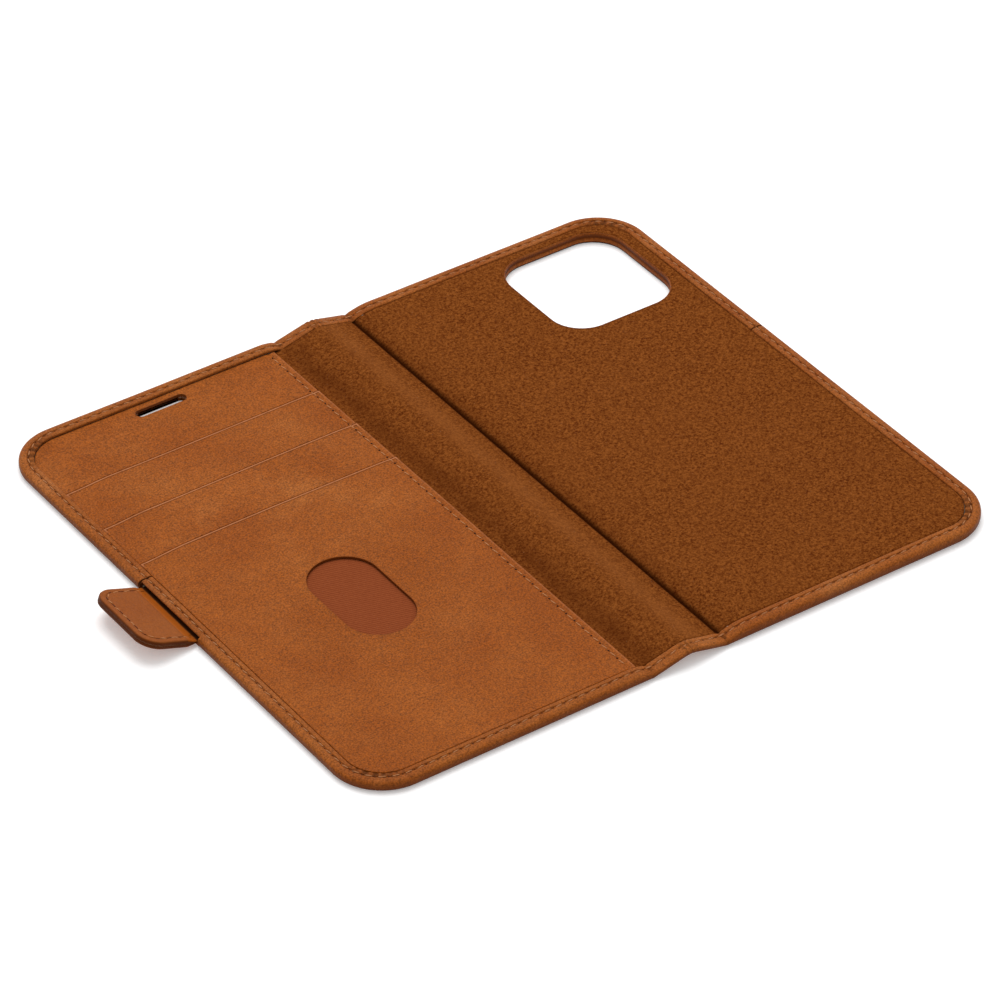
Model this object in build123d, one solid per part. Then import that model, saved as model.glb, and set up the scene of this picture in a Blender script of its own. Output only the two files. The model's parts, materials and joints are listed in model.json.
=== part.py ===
from build123d import *
import math
import os

# Leather folio case for a large phone, lying open with its inside up.
# Frame: +X runs from the front cover, across the spine, to the back cover,
# +Y runs to the phone's top end, +Z is up. Origin: under the middle of the
# open case, on the surface that it lies on. Everything is in millimetres.

os.makedirs("parts", exist_ok=True)

# ---- Driving dimensions -------------------------------------------------
CASE_LENGTH = 158.0        # along the folds
BACK_WIDTH = 80.8          # rear fold to the back cover's free edge
FRONT_WIDTH = 78.4         # front fold to the front cover's free edge
SPINE_SPAN = 20.8          # front fold to rear fold, as the open case lies
SPINE_TILT = 14.0          # each spine half rises to the ridge by this angle
BACK_THICK = 3.2
FRONT_THICK = 2.8
SPINE_THICK = 1.7
CORNER_RADIUS = 13.5       # free corners of both covers
LEATHER = 0.9              # outer leather
HEM_WIDTH = 3.8            # turned edge, seen from the inside
HEM_DIP_RUN = 7.0          # the turned edge thins down over this run to a fold
SHEET_GAP = 0.1            # play between an inlaid sheet and the hem

# ---- Folds (rolled bead on one side, hollow seat on the other) ------------
FOLD_HEIGHT = 0.7          # fold axis above the underside
BEAD_RADIUS = 0.6
SEAT_RADIUS = 0.8
FOLD_WEDGE = 40.0          # half angle of the leather next to a cover's fold
RIDGE_WEDGE = 70.0         # the same at the ridge, which turns far less
FOLD_CLEAR = 1.2           # the full thickness starts this far from the axis

# ---- Back cover ----------------------------------------------------------
LINING = 0.8
CAMERA_WIDTH = 34.0
CAMERA_LENGTH = 35.1
CAMERA_RADIUS = 9.0
CAMERA_SIDE_MARGIN = 7.3   # opening to the free long edge
CAMERA_TOP_MARGIN = 6.4    # opening to the top edge
RIM_WALL = 1.2
RIM_ROUND = 0.5
MAGNET_RADIUS = 5.0
MAGNET_PLAY = 0.1
MAGNET_COLUMNS = (18.0, 62.0)
MAGNET_ROWS = (24.0, 62.0, 98.0)
KEEPER_LENGTH = 26.0
KEEPER_WIDTH = 3.0
KEEPER_THICK = 1.2
KEEPER_INSET = 1.4         # keeper to the free long edge

# ---- Front cover and card pockets -----------------------------------------
FRONT_BOARD = 0.4
CARD_LEATHER = 0.6
CARD_STEP = 0.22           # each pocket front lies this much above the last
CARD_EDGE = 2.4            # card panels' spine-side edge to the front fold
POCKET_CLOTH = 0.15
POCKET_DEPTH = 83.0        # mouth to the bottom of a card pocket
POCKET_SIDE = 7.6          # pocket cloth to the front fold
POCKET_TUCK = 6.0          # cloth glued under the strip above the mouth
FIRST_MOUTH = 134.0        # first pocket mouth above the bottom edge
MOUTH_PITCH = 16.6
MOUTH_GAP = 0.3
POCKETS = 3
BASE_LIFT = 0.2            # first strip above the board
SPEAKER_LENGTH = 14.0
SPEAKER_WIDTH = 2.7
SPEAKER_AT = (36.9, 150.9)
WINDOW_WIDTH = 17.6
WINDOW_LENGTH = 31.6
WINDOW_AT = (38.9, 60.9)

# ---- Closing tab ------------------------------------------------------------
TAB_AT = 81.6              # tab's middle above the bottom edge
TAB_WIDTH = 24.2
TAB_REACH = 13.2           # tab fold to the tab's free edge
TAB_THICK = 2.1
TAB_CORNER = 5.0
TAB_SKIN = 0.7
TAB_TILT = 20.0
TAB_FOLD_OUT = 0.9         # tab fold outside the front cover's free edge
TAB_FOLD_HEIGHT = 1.15
STRIP_RUN = 1.8            # soft strip between the fold and the stiff pad
STRIP_THICK = 1.5
TONGUE_RUN = 10.0          # glued length inside the cover
TONGUE_THICK = 0.75
SLOT_WIDTH = 25.2
SLOT_FLOOR = 0.7
SLOT_ROOF = 2.1
TAB_MAGNET_LENGTH = 8.6
TAB_MAGNET_WIDTH = 5.0
TAB_MAGNET_SPREAD = 10.0

# ---- Stitching --------------------------------------------------------------
STITCH_PITCH = 3.0
STITCH_LENGTH = 2.1
STITCH_WIDTH = 0.44
STITCH_DEPTH = 0.2
GROOVE_WIDTH = 0.6
HEM_STITCH_INSET = 2.3
SEAM_INSET = 4.1           # card seam to the front fold
TAB_STITCH_INSET = 1.7
TAB_STITCH_LENGTH = 1.4    # shorter, to turn the tab's tight corners

# ---- Worked out ---------------------------------------------------------------
HALF_SPAN = SPINE_SPAN / 2
SPINE_RUN = HALF_SPAN / math.cos(math.radians(SPINE_TILT))
RIDGE_HEIGHT = FOLD_HEIGHT + HALF_SPAN * math.tan(math.radians(SPINE_TILT))
BACK_HEM_FLOOR = BACK_THICK - LINING
FRONT_HEM_FLOOR = LEATHER + FRONT_BOARD
CARD_BASE = FRONT_HEM_FLOOR + BASE_LIFT
TAB_ROUND = TAB_SKIN / 2
TAB_END_RUN = (TAB_REACH - TAB_ROUND) * math.cos(math.radians(TAB_TILT))
TAB_END_DROP = (TAB_THICK / 2 - TAB_ROUND) * math.sin(math.radians(TAB_TILT))
TAB_SPAN = TAB_FOLD_OUT + TAB_END_RUN + TAB_END_DROP + TAB_ROUND
MIDDLE_X = (BACK_WIDTH + SPINE_SPAN - FRONT_WIDTH - TAB_SPAN) / 2
FRONT_FOLD_X = -MIDDLE_X
REAR_FOLD_X = FRONT_FOLD_X + SPINE_SPAN
RIDGE_X = FRONT_FOLD_X + HALF_SPAN
TAB_FOLD_X = FRONT_FOLD_X - FRONT_WIDTH - TAB_FOLD_OUT
MIDDLE_Y = CASE_LENGTH / 2


# ---- Shared shapes ----------------------------------------------------------
# A cover is drawn in its own flat frame: X = 0 on its fold axis and growing to
# the free edge, Y = 0 on its bottom edge, Z = 0 on its outer face.

def layer(face, low, high):
    """A flat sheet of the given outline, from one height to another."""
    return extrude(Pos(0, 0, low) * face, high - low)


def block(x_low, x_high, y_low, y_high, z_low, z_high):
    """A plain block between six planes."""
    size = (x_high - x_low, y_high - y_low, z_high - z_low)
    middle = ((x_low + x_high) / 2, (y_low + y_high) / 2, (z_low + z_high) / 2)
    return Pos(*middle) * Box(*size)


def along_fold(points):
    """A prism along Y over the whole length, from corners given as (x, z)."""
    corners = [(x, 0, z) for x, z in points]
    face = make_face(Polyline(*corners, close=True))
    return extrude(face, CASE_LENGTH, dir=(0, 1, 0))


def fold_rod(radius, x=0.0, z=0.0):
    """A round rod along a fold axis."""
    rod = Rot(-90, 0, 0) * Cylinder(radius, CASE_LENGTH)
    return Pos(x, CASE_LENGTH / 2, z) * rod


def cover_outline(width, inset, start):
    """A cover's outline, drawn in by inset, from start to its rounded corners."""
    size_x = width - inset - start
    size_y = CASE_LENGTH - 2 * inset
    blank = Rectangle(size_x, size_y)
    corners = blank.vertices().group_by(Axis.X)[-1]
    rounded = fillet(corners, CORNER_RADIUS - inset)
    return Pos(start + size_x / 2, CASE_LENGTH / 2, 0) * rounded


def stadium(length, width, middle, turn=0.0):
    """A slot outline with round ends."""
    return Pos(*middle, 0) * Rot(0, 0, turn) * SlotOverall(length, width)


def stitch_row(path, lift, length=STITCH_LENGTH):
    """Single stitches, evenly spaced, lying in their groove along a path."""
    count = round(path.length / STITCH_PITCH)
    stitches = []
    for number in range(count):
        share = (number + 0.5) / count
        spot = path.position_at(share)
        way = path.tangent_at(share)
        turn = math.degrees(math.atan2(way.Y, way.X))
        stitch = Box(length, STITCH_WIDTH, STITCH_DEPTH)
        place = Pos(spot.X, spot.Y, lift - STITCH_DEPTH / 2)
        stitches.append(place * Rot(0, 0, turn) * stitch)
    return stitches


def open_path(face):
    """The outline of a face without its edge on the fold side."""
    edges = face.edges().sort_by(Axis.X)[1:]
    return Wire(edges)


# ---- Covers -------------------------------------------------------------------

def rounded_plate(width, thick):
    """The cover's outer form: free edges fully rounded, fold side left plain."""
    plate = layer(cover_outline(width, 0.0, FOLD_CLEAR), 0, thick)
    by_height = plate.faces().sort_by(Axis.Z)
    rims = by_height[0].edges() + by_height[-1].edges()
    middle_of_fold_side = FOLD_CLEAR + SHEET_GAP
    free = [edge for edge in rims if edge.center().X > middle_of_fold_side]
    return fillet(free, thick / 2 - SHEET_GAP / 2)


def fold_neck():
    """The thin leather between a cover and its fold axis, with the rolled bead."""
    slope = math.tan(math.radians(FOLD_WEDGE))
    run = FOLD_CLEAR + SHEET_GAP
    points = [
        (0, FOLD_HEIGHT),
        (run, FOLD_HEIGHT + FOLD_CLEAR * slope),
        (run, 0),
        (FOLD_HEIGHT / slope, 0),
    ]
    return along_fold(points) + fold_rod(BEAD_RADIUS, 0, FOLD_HEIGHT)


def hem_dip(thick, low):
    """What is taken off a cover's upper side where it thins down to the fold."""
    points = [
        (0, low),
        (FOLD_CLEAR, low),
        (HEM_DIP_RUN, thick),
        (HEM_DIP_RUN, thick + LEATHER),
        (0, thick + LEATHER),
    ]
    return along_fold(points)


def hem_groove(width, thick):
    """The groove that the hem stitches lie in."""
    outer = cover_outline(width, HEM_STITCH_INSET - GROOVE_WIDTH / 2, FOLD_CLEAR)
    inner = cover_outline(width, HEM_STITCH_INSET + GROOVE_WIDTH / 2, -LEATHER)
    return layer(outer - inner, thick - STITCH_DEPTH, thick + LEATHER)


def cover_leather(width, thick, hem_floor, dip_low):
    """Outer leather of a cover: face, rounded edge and turned hem in one skin."""
    board_start = 2 * FOLD_CLEAR
    skin = rounded_plate(width, thick)
    skin -= layer(cover_outline(width, LEATHER, board_start), LEATHER, hem_floor)
    skin -= layer(cover_outline(width, HEM_WIDTH, 0.0), hem_floor, thick + LEATHER)
    skin -= hem_dip(thick, dip_low)
    skin -= hem_groove(width, thick)
    return skin + fold_neck()


def cover_board(width, hem_floor):
    """Stiffening board that fills the space inside the turned leather."""
    inset = LEATHER + SHEET_GAP
    face = cover_outline(width, inset, 2 * FOLD_CLEAR + SHEET_GAP)
    return layer(face, LEATHER, hem_floor)


def hem_stitches(width, thick):
    """Stitches round a cover's three hemmed sides."""
    path = open_path(cover_outline(width, HEM_STITCH_INSET, HEM_DIP_RUN))
    return stitch_row(path, thick)


# ---- Back cover -----------------------------------------------------------------

def camera_outline(grow):
    """Outline of the camera opening, grown outwards all round."""
    size = (CAMERA_WIDTH + 2 * grow, CAMERA_LENGTH + 2 * grow)
    x = BACK_WIDTH - CAMERA_SIDE_MARGIN - CAMERA_WIDTH / 2
    y = CASE_LENGTH - CAMERA_TOP_MARGIN - CAMERA_LENGTH / 2
    return Pos(x, y, 0) * RectangleRounded(*size, CAMERA_RADIUS + grow)


def camera_hole(grow):
    """A cutter through the whole back cover."""
    return layer(camera_outline(grow), -LEATHER, BACK_THICK + LEATHER)


def back_outer_leather():
    dip_low = BACK_HEM_FLOOR - SHEET_GAP
    skin = cover_leather(BACK_WIDTH, BACK_THICK, BACK_HEM_FLOOR, dip_low)
    return skin - camera_hole(RIM_WALL)


def keeper_box(play):
    """The place of the steel keeper along the free edge."""
    x_high = BACK_WIDTH - KEEPER_INSET
    y_low = TAB_AT - KEEPER_LENGTH / 2
    return block(
        x_high - KEEPER_WIDTH - play,
        x_high + play,
        y_low - play,
        y_low + KEEPER_LENGTH + play,
        LEATHER - play,
        LEATHER + KEEPER_THICK + play,
    )


def magnet_discs(radius, low, high):
    """Discs at the places of the holding magnets."""
    discs = []
    for x in MAGNET_COLUMNS:
        for y in MAGNET_ROWS:
            discs.append(layer(Pos(x, y, 0) * Circle(radius), low, high))
    return discs


def back_board():
    board = cover_board(BACK_WIDTH, BACK_HEM_FLOOR)
    board -= camera_hole(RIM_WALL + SHEET_GAP)
    board -= keeper_box(2 * SHEET_GAP)
    for hole in magnet_discs(MAGNET_RADIUS + MAGNET_PLAY, 0, BACK_THICK):
        board -= hole
    return board


def back_lining():
    start = FOLD_CLEAR + SHEET_GAP
    face = cover_outline(BACK_WIDTH, HEM_WIDTH + SHEET_GAP, start)
    sheet = layer(face, BACK_HEM_FLOOR, BACK_THICK)
    fold_edge = sheet.edges().filter_by(Axis.Y).group_by(Axis.X)[0]
    sheet = fillet(fold_edge.sort_by(Axis.Z)[-1:], LINING - SHEET_GAP)
    return sheet - camera_hole(RIM_WALL + SHEET_GAP)


def camera_rim():
    ring = layer(camera_outline(RIM_WALL), 0, BACK_THICK)
    ring -= camera_hole(0.0)
    top = ring.faces().sort_by(Axis.Z)[-1]
    return fillet(top.edges(), RIM_ROUND)


def holder_magnets():
    return magnet_discs(MAGNET_RADIUS, LEATHER, BACK_HEM_FLOOR - SHEET_GAP)


# ---- Spine ------------------------------------------------------------------------
# A spine half is drawn flat too: X = 0 on the cover's fold, X = SPINE_RUN on the
# ridge, and Z = 0 half way through it.

def spine_form():
    """Full thickness of one half, tapered to both fold axes."""
    half = SPINE_THICK / 2
    cover_taper = half / math.tan(math.radians(FOLD_WEDGE))
    ridge_taper = half / math.tan(math.radians(RIDGE_WEDGE))
    points = [
        (0, 0),
        (cover_taper, half),
        (SPINE_RUN - ridge_taper, half),
        (SPINE_RUN, 0),
        (SPINE_RUN - ridge_taper, -half),
        (cover_taper, -half),
    ]
    return along_fold(points) - fold_rod(SEAT_RADIUS)


def lining_bay(play):
    """The space over the leather, between the two turned ends."""
    low = HEM_WIDTH + play
    floor = LEATHER - SPINE_THICK / 2
    return block(-LEATHER, SPINE_RUN + LEATHER, low, CASE_LENGTH - low, floor, SPINE_THICK)


def spine_hem_lines():
    """Where the stitches run at the two ends of a spine half."""
    margin = 1.6
    low = HEM_STITCH_INSET
    rows = []
    for y in (low, CASE_LENGTH - low):
        rows.append(Line((margin, y, 0), (SPINE_RUN - margin, y, 0)))
    return rows


def spine_leather(with_bead):
    half = SPINE_THICK / 2
    skin = spine_form() - lining_bay(0.0)
    for row in spine_hem_lines():
        y = row.position_at(0).Y
        groove = GROOVE_WIDTH / 2
        skin -= block(-LEATHER, SPINE_RUN + LEATHER, y - groove, y + groove,
                      half - STITCH_DEPTH, SPINE_THICK)
    if with_bead:
        return skin + fold_rod(BEAD_RADIUS, SPINE_RUN)
    return skin - fold_rod(SEAT_RADIUS, SPINE_RUN)


def spine_lining(with_bead):
    ridge_radius = BEAD_RADIUS if with_bead else SEAT_RADIUS
    floor = LEATHER - SPINE_THICK / 2
    sheet = spine_form() & lining_bay(SHEET_GAP)
    sheet -= fold_rod(ridge_radius, SPINE_RUN)
    low_edge = block(-LEATHER, SEAT_RADIUS + SHEET_GAP, 0, CASE_LENGTH, -LEATHER, floor + SHEET_GAP)
    return sheet - low_edge


def spine_stitches():
    stitches = []
    for row in spine_hem_lines():
        stitches += stitch_row(row, SPINE_THICK / 2)
    return stitches


# ---- Front cover ---------------------------------------------------------------------

def speaker_hole():
    face = stadium(SPEAKER_LENGTH, SPEAKER_WIDTH, SPEAKER_AT)
    return layer(face, -LEATHER, FRONT_THICK + LEATHER)


def tab_slot():
    """The slot in the free edge that the tab comes out of."""
    half = SLOT_WIDTH / 2
    return block(FRONT_WIDTH - HEM_WIDTH - SHEET_GAP, FRONT_WIDTH + LEATHER,
                 TAB_AT - half, TAB_AT + half, SLOT_FLOOR, SLOT_ROOF)


def front_outer_leather():
    dip_low = FRONT_HEM_FLOOR + POCKET_CLOTH
    skin = cover_leather(FRONT_WIDTH, FRONT_THICK, FRONT_HEM_FLOOR, dip_low)
    return skin - speaker_hole() - tab_slot()


def front_board():
    half = TAB_WIDTH / 2 + SHEET_GAP
    notch = block(FRONT_WIDTH - TONGUE_RUN - SHEET_GAP, FRONT_WIDTH, TAB_AT - half,
                  TAB_AT + half, 0, FRONT_THICK)
    return cover_board(FRONT_WIDTH, FRONT_HEM_FLOOR) - speaker_hole() - notch


def front_lining():
    """Fleece strip that runs from the fold under the card panels' edge."""
    low = HEM_WIDTH + SHEET_GAP
    return block(FOLD_CLEAR + SHEET_GAP, POCKET_SIDE - SHEET_GAP, low, CASE_LENGTH - low,
                 FRONT_HEM_FLOOR, FRONT_HEM_FLOOR + POCKET_CLOTH)


def mouth(number):
    """Height along the cover of a pocket mouth, counted from the top."""
    return FIRST_MOUTH - number * MOUTH_PITCH


def strip_floor(number):
    """Underside of a card panel; each lies a step above the one before."""
    return CARD_BASE + number * CARD_STEP


def panel_face(low, high):
    """The card area between two heights, inside the hem."""
    whole = cover_outline(FRONT_WIDTH, HEM_WIDTH + SHEET_GAP, CARD_EDGE)
    width = FRONT_WIDTH * 2
    band = Pos(0, (low + high) / 2, 0) * Rectangle(width, high - low)
    return whole & band


def seam_groove(floor):
    half = GROOVE_WIDTH / 2
    top = floor + CARD_LEATHER
    return block(SEAM_INSET - half, SEAM_INSET + half, 0, CASE_LENGTH,
                 top - STITCH_DEPTH, top + LEATHER)


def card_panel(number):
    """One leather card panel: number 0 is the top strip, POCKETS the main one."""
    high = CASE_LENGTH if number == 0 else mouth(number - 1) - MOUTH_GAP
    low = 0 if number == POCKETS else mouth(number)
    floor = strip_floor(number)
    panel = layer(panel_face(low, high), floor, floor + CARD_LEATHER)
    return panel - seam_groove(floor)


def card_panel_top():
    return card_panel(0) - speaker_hole()


def card_panel_main():
    face = stadium(WINDOW_LENGTH, WINDOW_WIDTH, WINDOW_AT, 90)
    return card_panel(POCKETS) - layer(face, 0, FRONT_THICK + LEATHER)


def pocket_cloth(number):
    """Cloth back of one pocket, glued under the strip above its mouth."""
    top = strip_floor(number)
    high = mouth(number) + POCKET_TUCK
    low = mouth(number) - POCKET_DEPTH
    return block(POCKET_SIDE, FRONT_WIDTH - HEM_WIDTH - 2 * SHEET_GAP, low, high,
                 top - POCKET_CLOTH, top)


def card_seam_stitches():
    """The seam along the card panels' spine-side edge, panel by panel."""
    stitches = []
    end_margin = HEM_WIDTH + STITCH_PITCH / 2
    for number in range(POCKETS + 1):
        high = CASE_LENGTH - end_margin if number == 0 else mouth(number - 1) - MOUTH_GAP
        low = end_margin if number == POCKETS else mouth(number)
        row = Line((SEAM_INSET, low, 0), (SEAM_INSET, high, 0))
        stitches += stitch_row(row, strip_floor(number) + CARD_LEATHER)
    return stitches


# ---- Tab ----------------------------------------------------------------------------
# Drawn with X = 0 on the tab's fold, growing to its free edge, Y = 0 in its middle
# and Z = 0 half way through it.

def pad_outline(inset, start):
    size_x = TAB_REACH - inset - start
    blank = Rectangle(size_x, TAB_WIDTH - 2 * inset)
    corners = blank.vertices().group_by(Axis.X)[-1]
    return Pos(start + size_x / 2, 0, 0) * fillet(corners, TAB_CORNER - inset)


def pad_skin(low, high, outer_face):
    skin = layer(pad_outline(0.0, STRIP_RUN), low, high)
    face = skin.faces().sort_by(Axis.Z)[-1 if outer_face > 0 else 0]
    free = [edge for edge in face.edges() if edge.center().X > STRIP_RUN + SHEET_GAP]
    return fillet(free, TAB_ROUND)


def tab_inner_leather():
    half = TAB_THICK / 2
    outer = pad_outline(TAB_STITCH_INSET - GROOVE_WIDTH / 2, STRIP_RUN)
    inner = pad_outline(TAB_STITCH_INSET + GROOVE_WIDTH / 2, 0.0)
    skin = pad_skin(half - TAB_SKIN, half, 1)
    return skin - layer(outer - inner, half - STITCH_DEPTH, half + LEATHER)


def tab_outer_leather():
    half = TAB_THICK / 2
    return pad_skin(-half, TAB_SKIN - half, -1)


def tab_magnet_boxes(play):
    half = TAB_THICK / 2 - TAB_SKIN
    x = (STRIP_RUN + TAB_REACH) / 2
    size = (TAB_MAGNET_WIDTH + 2 * play, TAB_MAGNET_LENGTH + 2 * play, 2 * half)
    return [Pos(x, side * TAB_MAGNET_SPREAD / 2, 0) * Box(*size) for side in (-1, 1)]


def tab_stiffener():
    half = TAB_THICK / 2 - TAB_SKIN
    plate = layer(pad_outline(SHEET_GAP, STRIP_RUN), -half, half)
    for pocket in tab_magnet_boxes(SHEET_GAP):
        plate -= pocket
    return plate


def tab_strip():
    """Soft strip from the stiff pad to the fold, ending in the rolled bead."""
    bead_rod = Rot(-90, 0, 0) * Cylinder(BEAD_RADIUS, TAB_WIDTH)
    half = TAB_WIDTH / 2
    thin = STRIP_THICK / 2
    neck = block(0, STRIP_RUN / 2, -half, half, -BEAD_RADIUS, BEAD_RADIUS)
    band = block(STRIP_RUN / 3, STRIP_RUN, -half, half, -thin, thin)
    return bead_rod + neck + band


def tab_tongue():
    """The strip's glued end inside the cover, drawn in the cover's frame."""
    half = TAB_WIDTH / 2
    root = FRONT_WIDTH - HEM_WIDTH
    end = FRONT_WIDTH - SHEET_GAP / 2
    inside = block(FRONT_WIDTH - TONGUE_RUN, root, TAB_AT - half, TAB_AT + half,
                   LEATHER, FRONT_HEM_FLOOR)
    mouth_part = block(root, end, TAB_AT - half, TAB_AT + half, SLOT_FLOOR,
                       SLOT_FLOOR + TONGUE_THICK)
    return inside + mouth_part


def tab_stitches():
    path = open_path(pad_outline(TAB_STITCH_INSET, STRIP_RUN))
    return stitch_row(path, TAB_THICK / 2, TAB_STITCH_LENGTH)


# ---- Places -------------------------------------------------------------------------

def in_back(shape):
    return Pos(REAR_FOLD_X, -MIDDLE_Y, 0) * shape


def in_front(shape):
    return Pos(FRONT_FOLD_X, -MIDDLE_Y, 0) * mirror(shape, about=Plane.YZ)


def in_spine_rear(shape):
    turned = Rot(0, SPINE_TILT, 0) * mirror(shape, about=Plane.YZ)
    return Pos(REAR_FOLD_X, -MIDDLE_Y, FOLD_HEIGHT) * turned


def in_spine_front(shape):
    return Pos(FRONT_FOLD_X, -MIDDLE_Y, FOLD_HEIGHT) * Rot(0, -SPINE_TILT, 0) * shape


def in_tab(shape):
    turned = Rot(0, TAB_TILT, 0) * mirror(shape, about=Plane.YZ)
    return Pos(TAB_FOLD_X, TAB_AT - MIDDLE_Y, TAB_FOLD_HEIGHT) * turned


def save(name, place, shape):
    """Write one node; a list is a group of separate solids."""
    pieces = shape if isinstance(shape, list) else [shape]
    placed = [place(piece) for piece in pieces]
    solids = [solid for piece in placed for solid in piece.solids()]
    group = solids[0] if len(solids) == 1 else Compound(children=solids)
    export_step(group, f"parts/{name}.step")
    return solids


def build():
    everything = []
    nodes = [
        ("back_outer_leather", in_back, back_outer_leather()),
        ("back_board", in_back, back_board()),
        ("back_lining", in_back, back_lining()),
        ("back_camera_rim", in_back, camera_rim()),
        ("back_holder_magnets", in_back, holder_magnets()),
        ("back_keeper_plate", in_back, keeper_box(0.0)),
        ("back_hem_thread", in_back, hem_stitches(BACK_WIDTH, BACK_THICK)),
        ("spine_rear_leather", in_spine_rear, spine_leather(True)),
        ("spine_rear_lining", in_spine_rear, spine_lining(True)),
        ("spine_rear_thread", in_spine_rear, spine_stitches()),
        ("spine_front_leather", in_spine_front, spine_leather(False)),
        ("spine_front_lining", in_spine_front, spine_lining(False)),
        ("spine_front_thread", in_spine_front, spine_stitches()),
        ("front_outer_leather", in_front, front_outer_leather()),
        ("front_board", in_front, front_board()),
        ("front_lining", in_front, front_lining()),
        ("card_panel_top", in_front, card_panel_top()),
        ("card_panel_main", in_front, card_panel_main()),
        ("card_seam_thread", in_front, card_seam_stitches()),
        ("front_hem_thread", in_front, hem_stitches(FRONT_WIDTH, FRONT_THICK)),
        ("tab_tongue", in_front, tab_tongue()),
        ("tab_strip", in_tab, tab_strip()),
        ("tab_inner_leather", in_tab, tab_inner_leather()),
        ("tab_outer_leather", in_tab, tab_outer_leather()),
        ("tab_stiffener", in_tab, tab_stiffener()),
        ("tab_magnets", in_tab, tab_magnet_boxes(0.0)),
        ("tab_thread", in_tab, tab_stitches()),
    ]
    for number in range(1, POCKETS):
        nodes.append((f"card_strip_{number}", in_front, card_panel(number)))
    for number in range(POCKETS):
        nodes.append((f"pocket_cloth_{number + 1}", in_front, pocket_cloth(number)))
    for name, place, shape in nodes:
        everything += save(name, place, shape)
    box = Compound(children=everything).bounding_box()
    print("low", box.min, "high", box.max)
    print("front fold x", FRONT_FOLD_X, "ridge x", RIDGE_X, "rear fold x", REAR_FOLD_X)
    print("ridge height", RIDGE_HEIGHT, "tab fold x", TAB_FOLD_X, "tab y", TAB_AT - MIDDLE_Y)


build()
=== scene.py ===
# %% [markdown]
# # A leather folio case, lying open
# One soft skin of tan leather is wrapped round two stiff covers and a spine,
# turned over at the edges and sewn down. The whole case is drawn flat first, as
# a maker would cut it, and is then bent over the spine by one rule. Because all
# layers go through the same rule, they stay on top of each other everywhere.

# %% Load the frame
import json
import math
import bmesh
import bpy
from mathutils import Matrix, Vector, noise


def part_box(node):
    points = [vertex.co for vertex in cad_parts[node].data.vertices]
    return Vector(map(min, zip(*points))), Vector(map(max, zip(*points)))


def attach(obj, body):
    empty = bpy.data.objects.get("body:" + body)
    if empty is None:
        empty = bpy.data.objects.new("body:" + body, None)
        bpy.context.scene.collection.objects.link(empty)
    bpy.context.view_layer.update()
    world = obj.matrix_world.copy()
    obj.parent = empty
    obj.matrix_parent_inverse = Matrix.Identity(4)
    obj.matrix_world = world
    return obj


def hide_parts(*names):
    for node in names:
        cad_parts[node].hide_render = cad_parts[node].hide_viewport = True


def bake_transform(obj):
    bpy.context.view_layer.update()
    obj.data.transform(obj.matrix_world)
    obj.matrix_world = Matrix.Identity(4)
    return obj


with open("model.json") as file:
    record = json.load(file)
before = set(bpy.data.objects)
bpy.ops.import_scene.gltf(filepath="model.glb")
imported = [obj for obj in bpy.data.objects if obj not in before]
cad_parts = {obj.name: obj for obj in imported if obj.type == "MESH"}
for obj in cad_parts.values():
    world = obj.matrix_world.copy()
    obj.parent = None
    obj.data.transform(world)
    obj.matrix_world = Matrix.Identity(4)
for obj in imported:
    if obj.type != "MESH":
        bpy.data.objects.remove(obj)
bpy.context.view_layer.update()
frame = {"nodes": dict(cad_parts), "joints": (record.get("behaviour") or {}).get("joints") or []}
MM = 0.001
hinge = {joint["name"]: Vector(joint["pos_m"]) / MM for joint in frame["joints"]}
print("hinges", {name: tuple(round(c, 2) for c in place) for name, place in hinge.items()})

# %% [markdown]
# ## Sizes
# Everything is worked out in millimetres from the frame: the hinges say where the
# folds are, and the boxes of the parts say where the edges are. Only the sizes
# that no box can tell, such as the width of the turned edge, are written down.

# %% Places from the frame


def box_mm(node):
    """Lowest and highest corner of a part, in millimetres."""
    low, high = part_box(node)
    return low / MM, high / MM


REAR = hinge["rear_fold"].x
FRONT = hinge["front_fold"].x
RIDGE = hinge["ridge_fold"].x
LEFT = box_mm("front_outer_leather")[0].x
RIGHT = box_mm("back_outer_leather")[1].x
NEAR = box_mm("back_outer_leather")[0].y
FAR = box_mm("back_outer_leather")[1].y
BACK_THICK = box_mm("back_outer_leather")[1].z
FRONT_THICK = box_mm("front_outer_leather")[1].z
SPINE_THICK = 1.75
CORNER = 13.5
HEM = 3.8
STITCH_INSET = 2.3
SEAM = FRONT - 4.1
PITCH = 3.1
print("covers", round(LEFT, 1), round(FRONT, 1), round(REAR, 1), round(RIGHT, 1))

# %% [markdown]
# ## The rule that bends the flat case
# Heights are drawn as if the case were 3 mm thick all over. The rule squeezes them
# to the real thickness, which falls towards the folds, and lifts the spine into
# its low tent. A little unevenness goes in here too, because leather over board
# is never a perfect plane.

# %% Height rules
DRAWN = 3.0
TENT_SLOPE = math.tan(math.radians(14))
TENT_TOP = hinge["ridge_fold"].z - SPINE_THICK / 2
RIDGE_ROUND = 0.9
FOLD_SOFT = 0.35
FRONT_RUN = 5.0
BACK_RUN = 7.0


def ease(value):
    """0 to 1 with flat ends."""
    value = min(max(value, 0.0), 1.0)
    return value * value * (3 - 2 * value)


def bell(distance, width):
    return math.exp(-((distance / width) ** 2))


def underside(x):
    """How high the outer leather stands over the ground."""
    away = math.hypot(x - RIDGE, RIDGE_ROUND) - RIDGE_ROUND
    height = TENT_TOP - away * TENT_SLOPE
    return (height + math.hypot(height, FOLD_SOFT)) / 2 if abs(x - RIDGE) < 30 else 0.0


def rise(gap, run):
    """Thickening away from a fold: quick at first, level after run."""
    left_over = 1 - min(max(gap / run, 0.0), 1.0)
    return 1 - left_over * left_over


def thickness(x):
    if x < RIDGE:
        return SPINE_THICK + (FRONT_THICK - SPINE_THICK) * rise(FRONT - x, FRONT_RUN)
    return SPINE_THICK + (BACK_THICK - SPINE_THICK) * rise(x - REAR, BACK_RUN)


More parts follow.
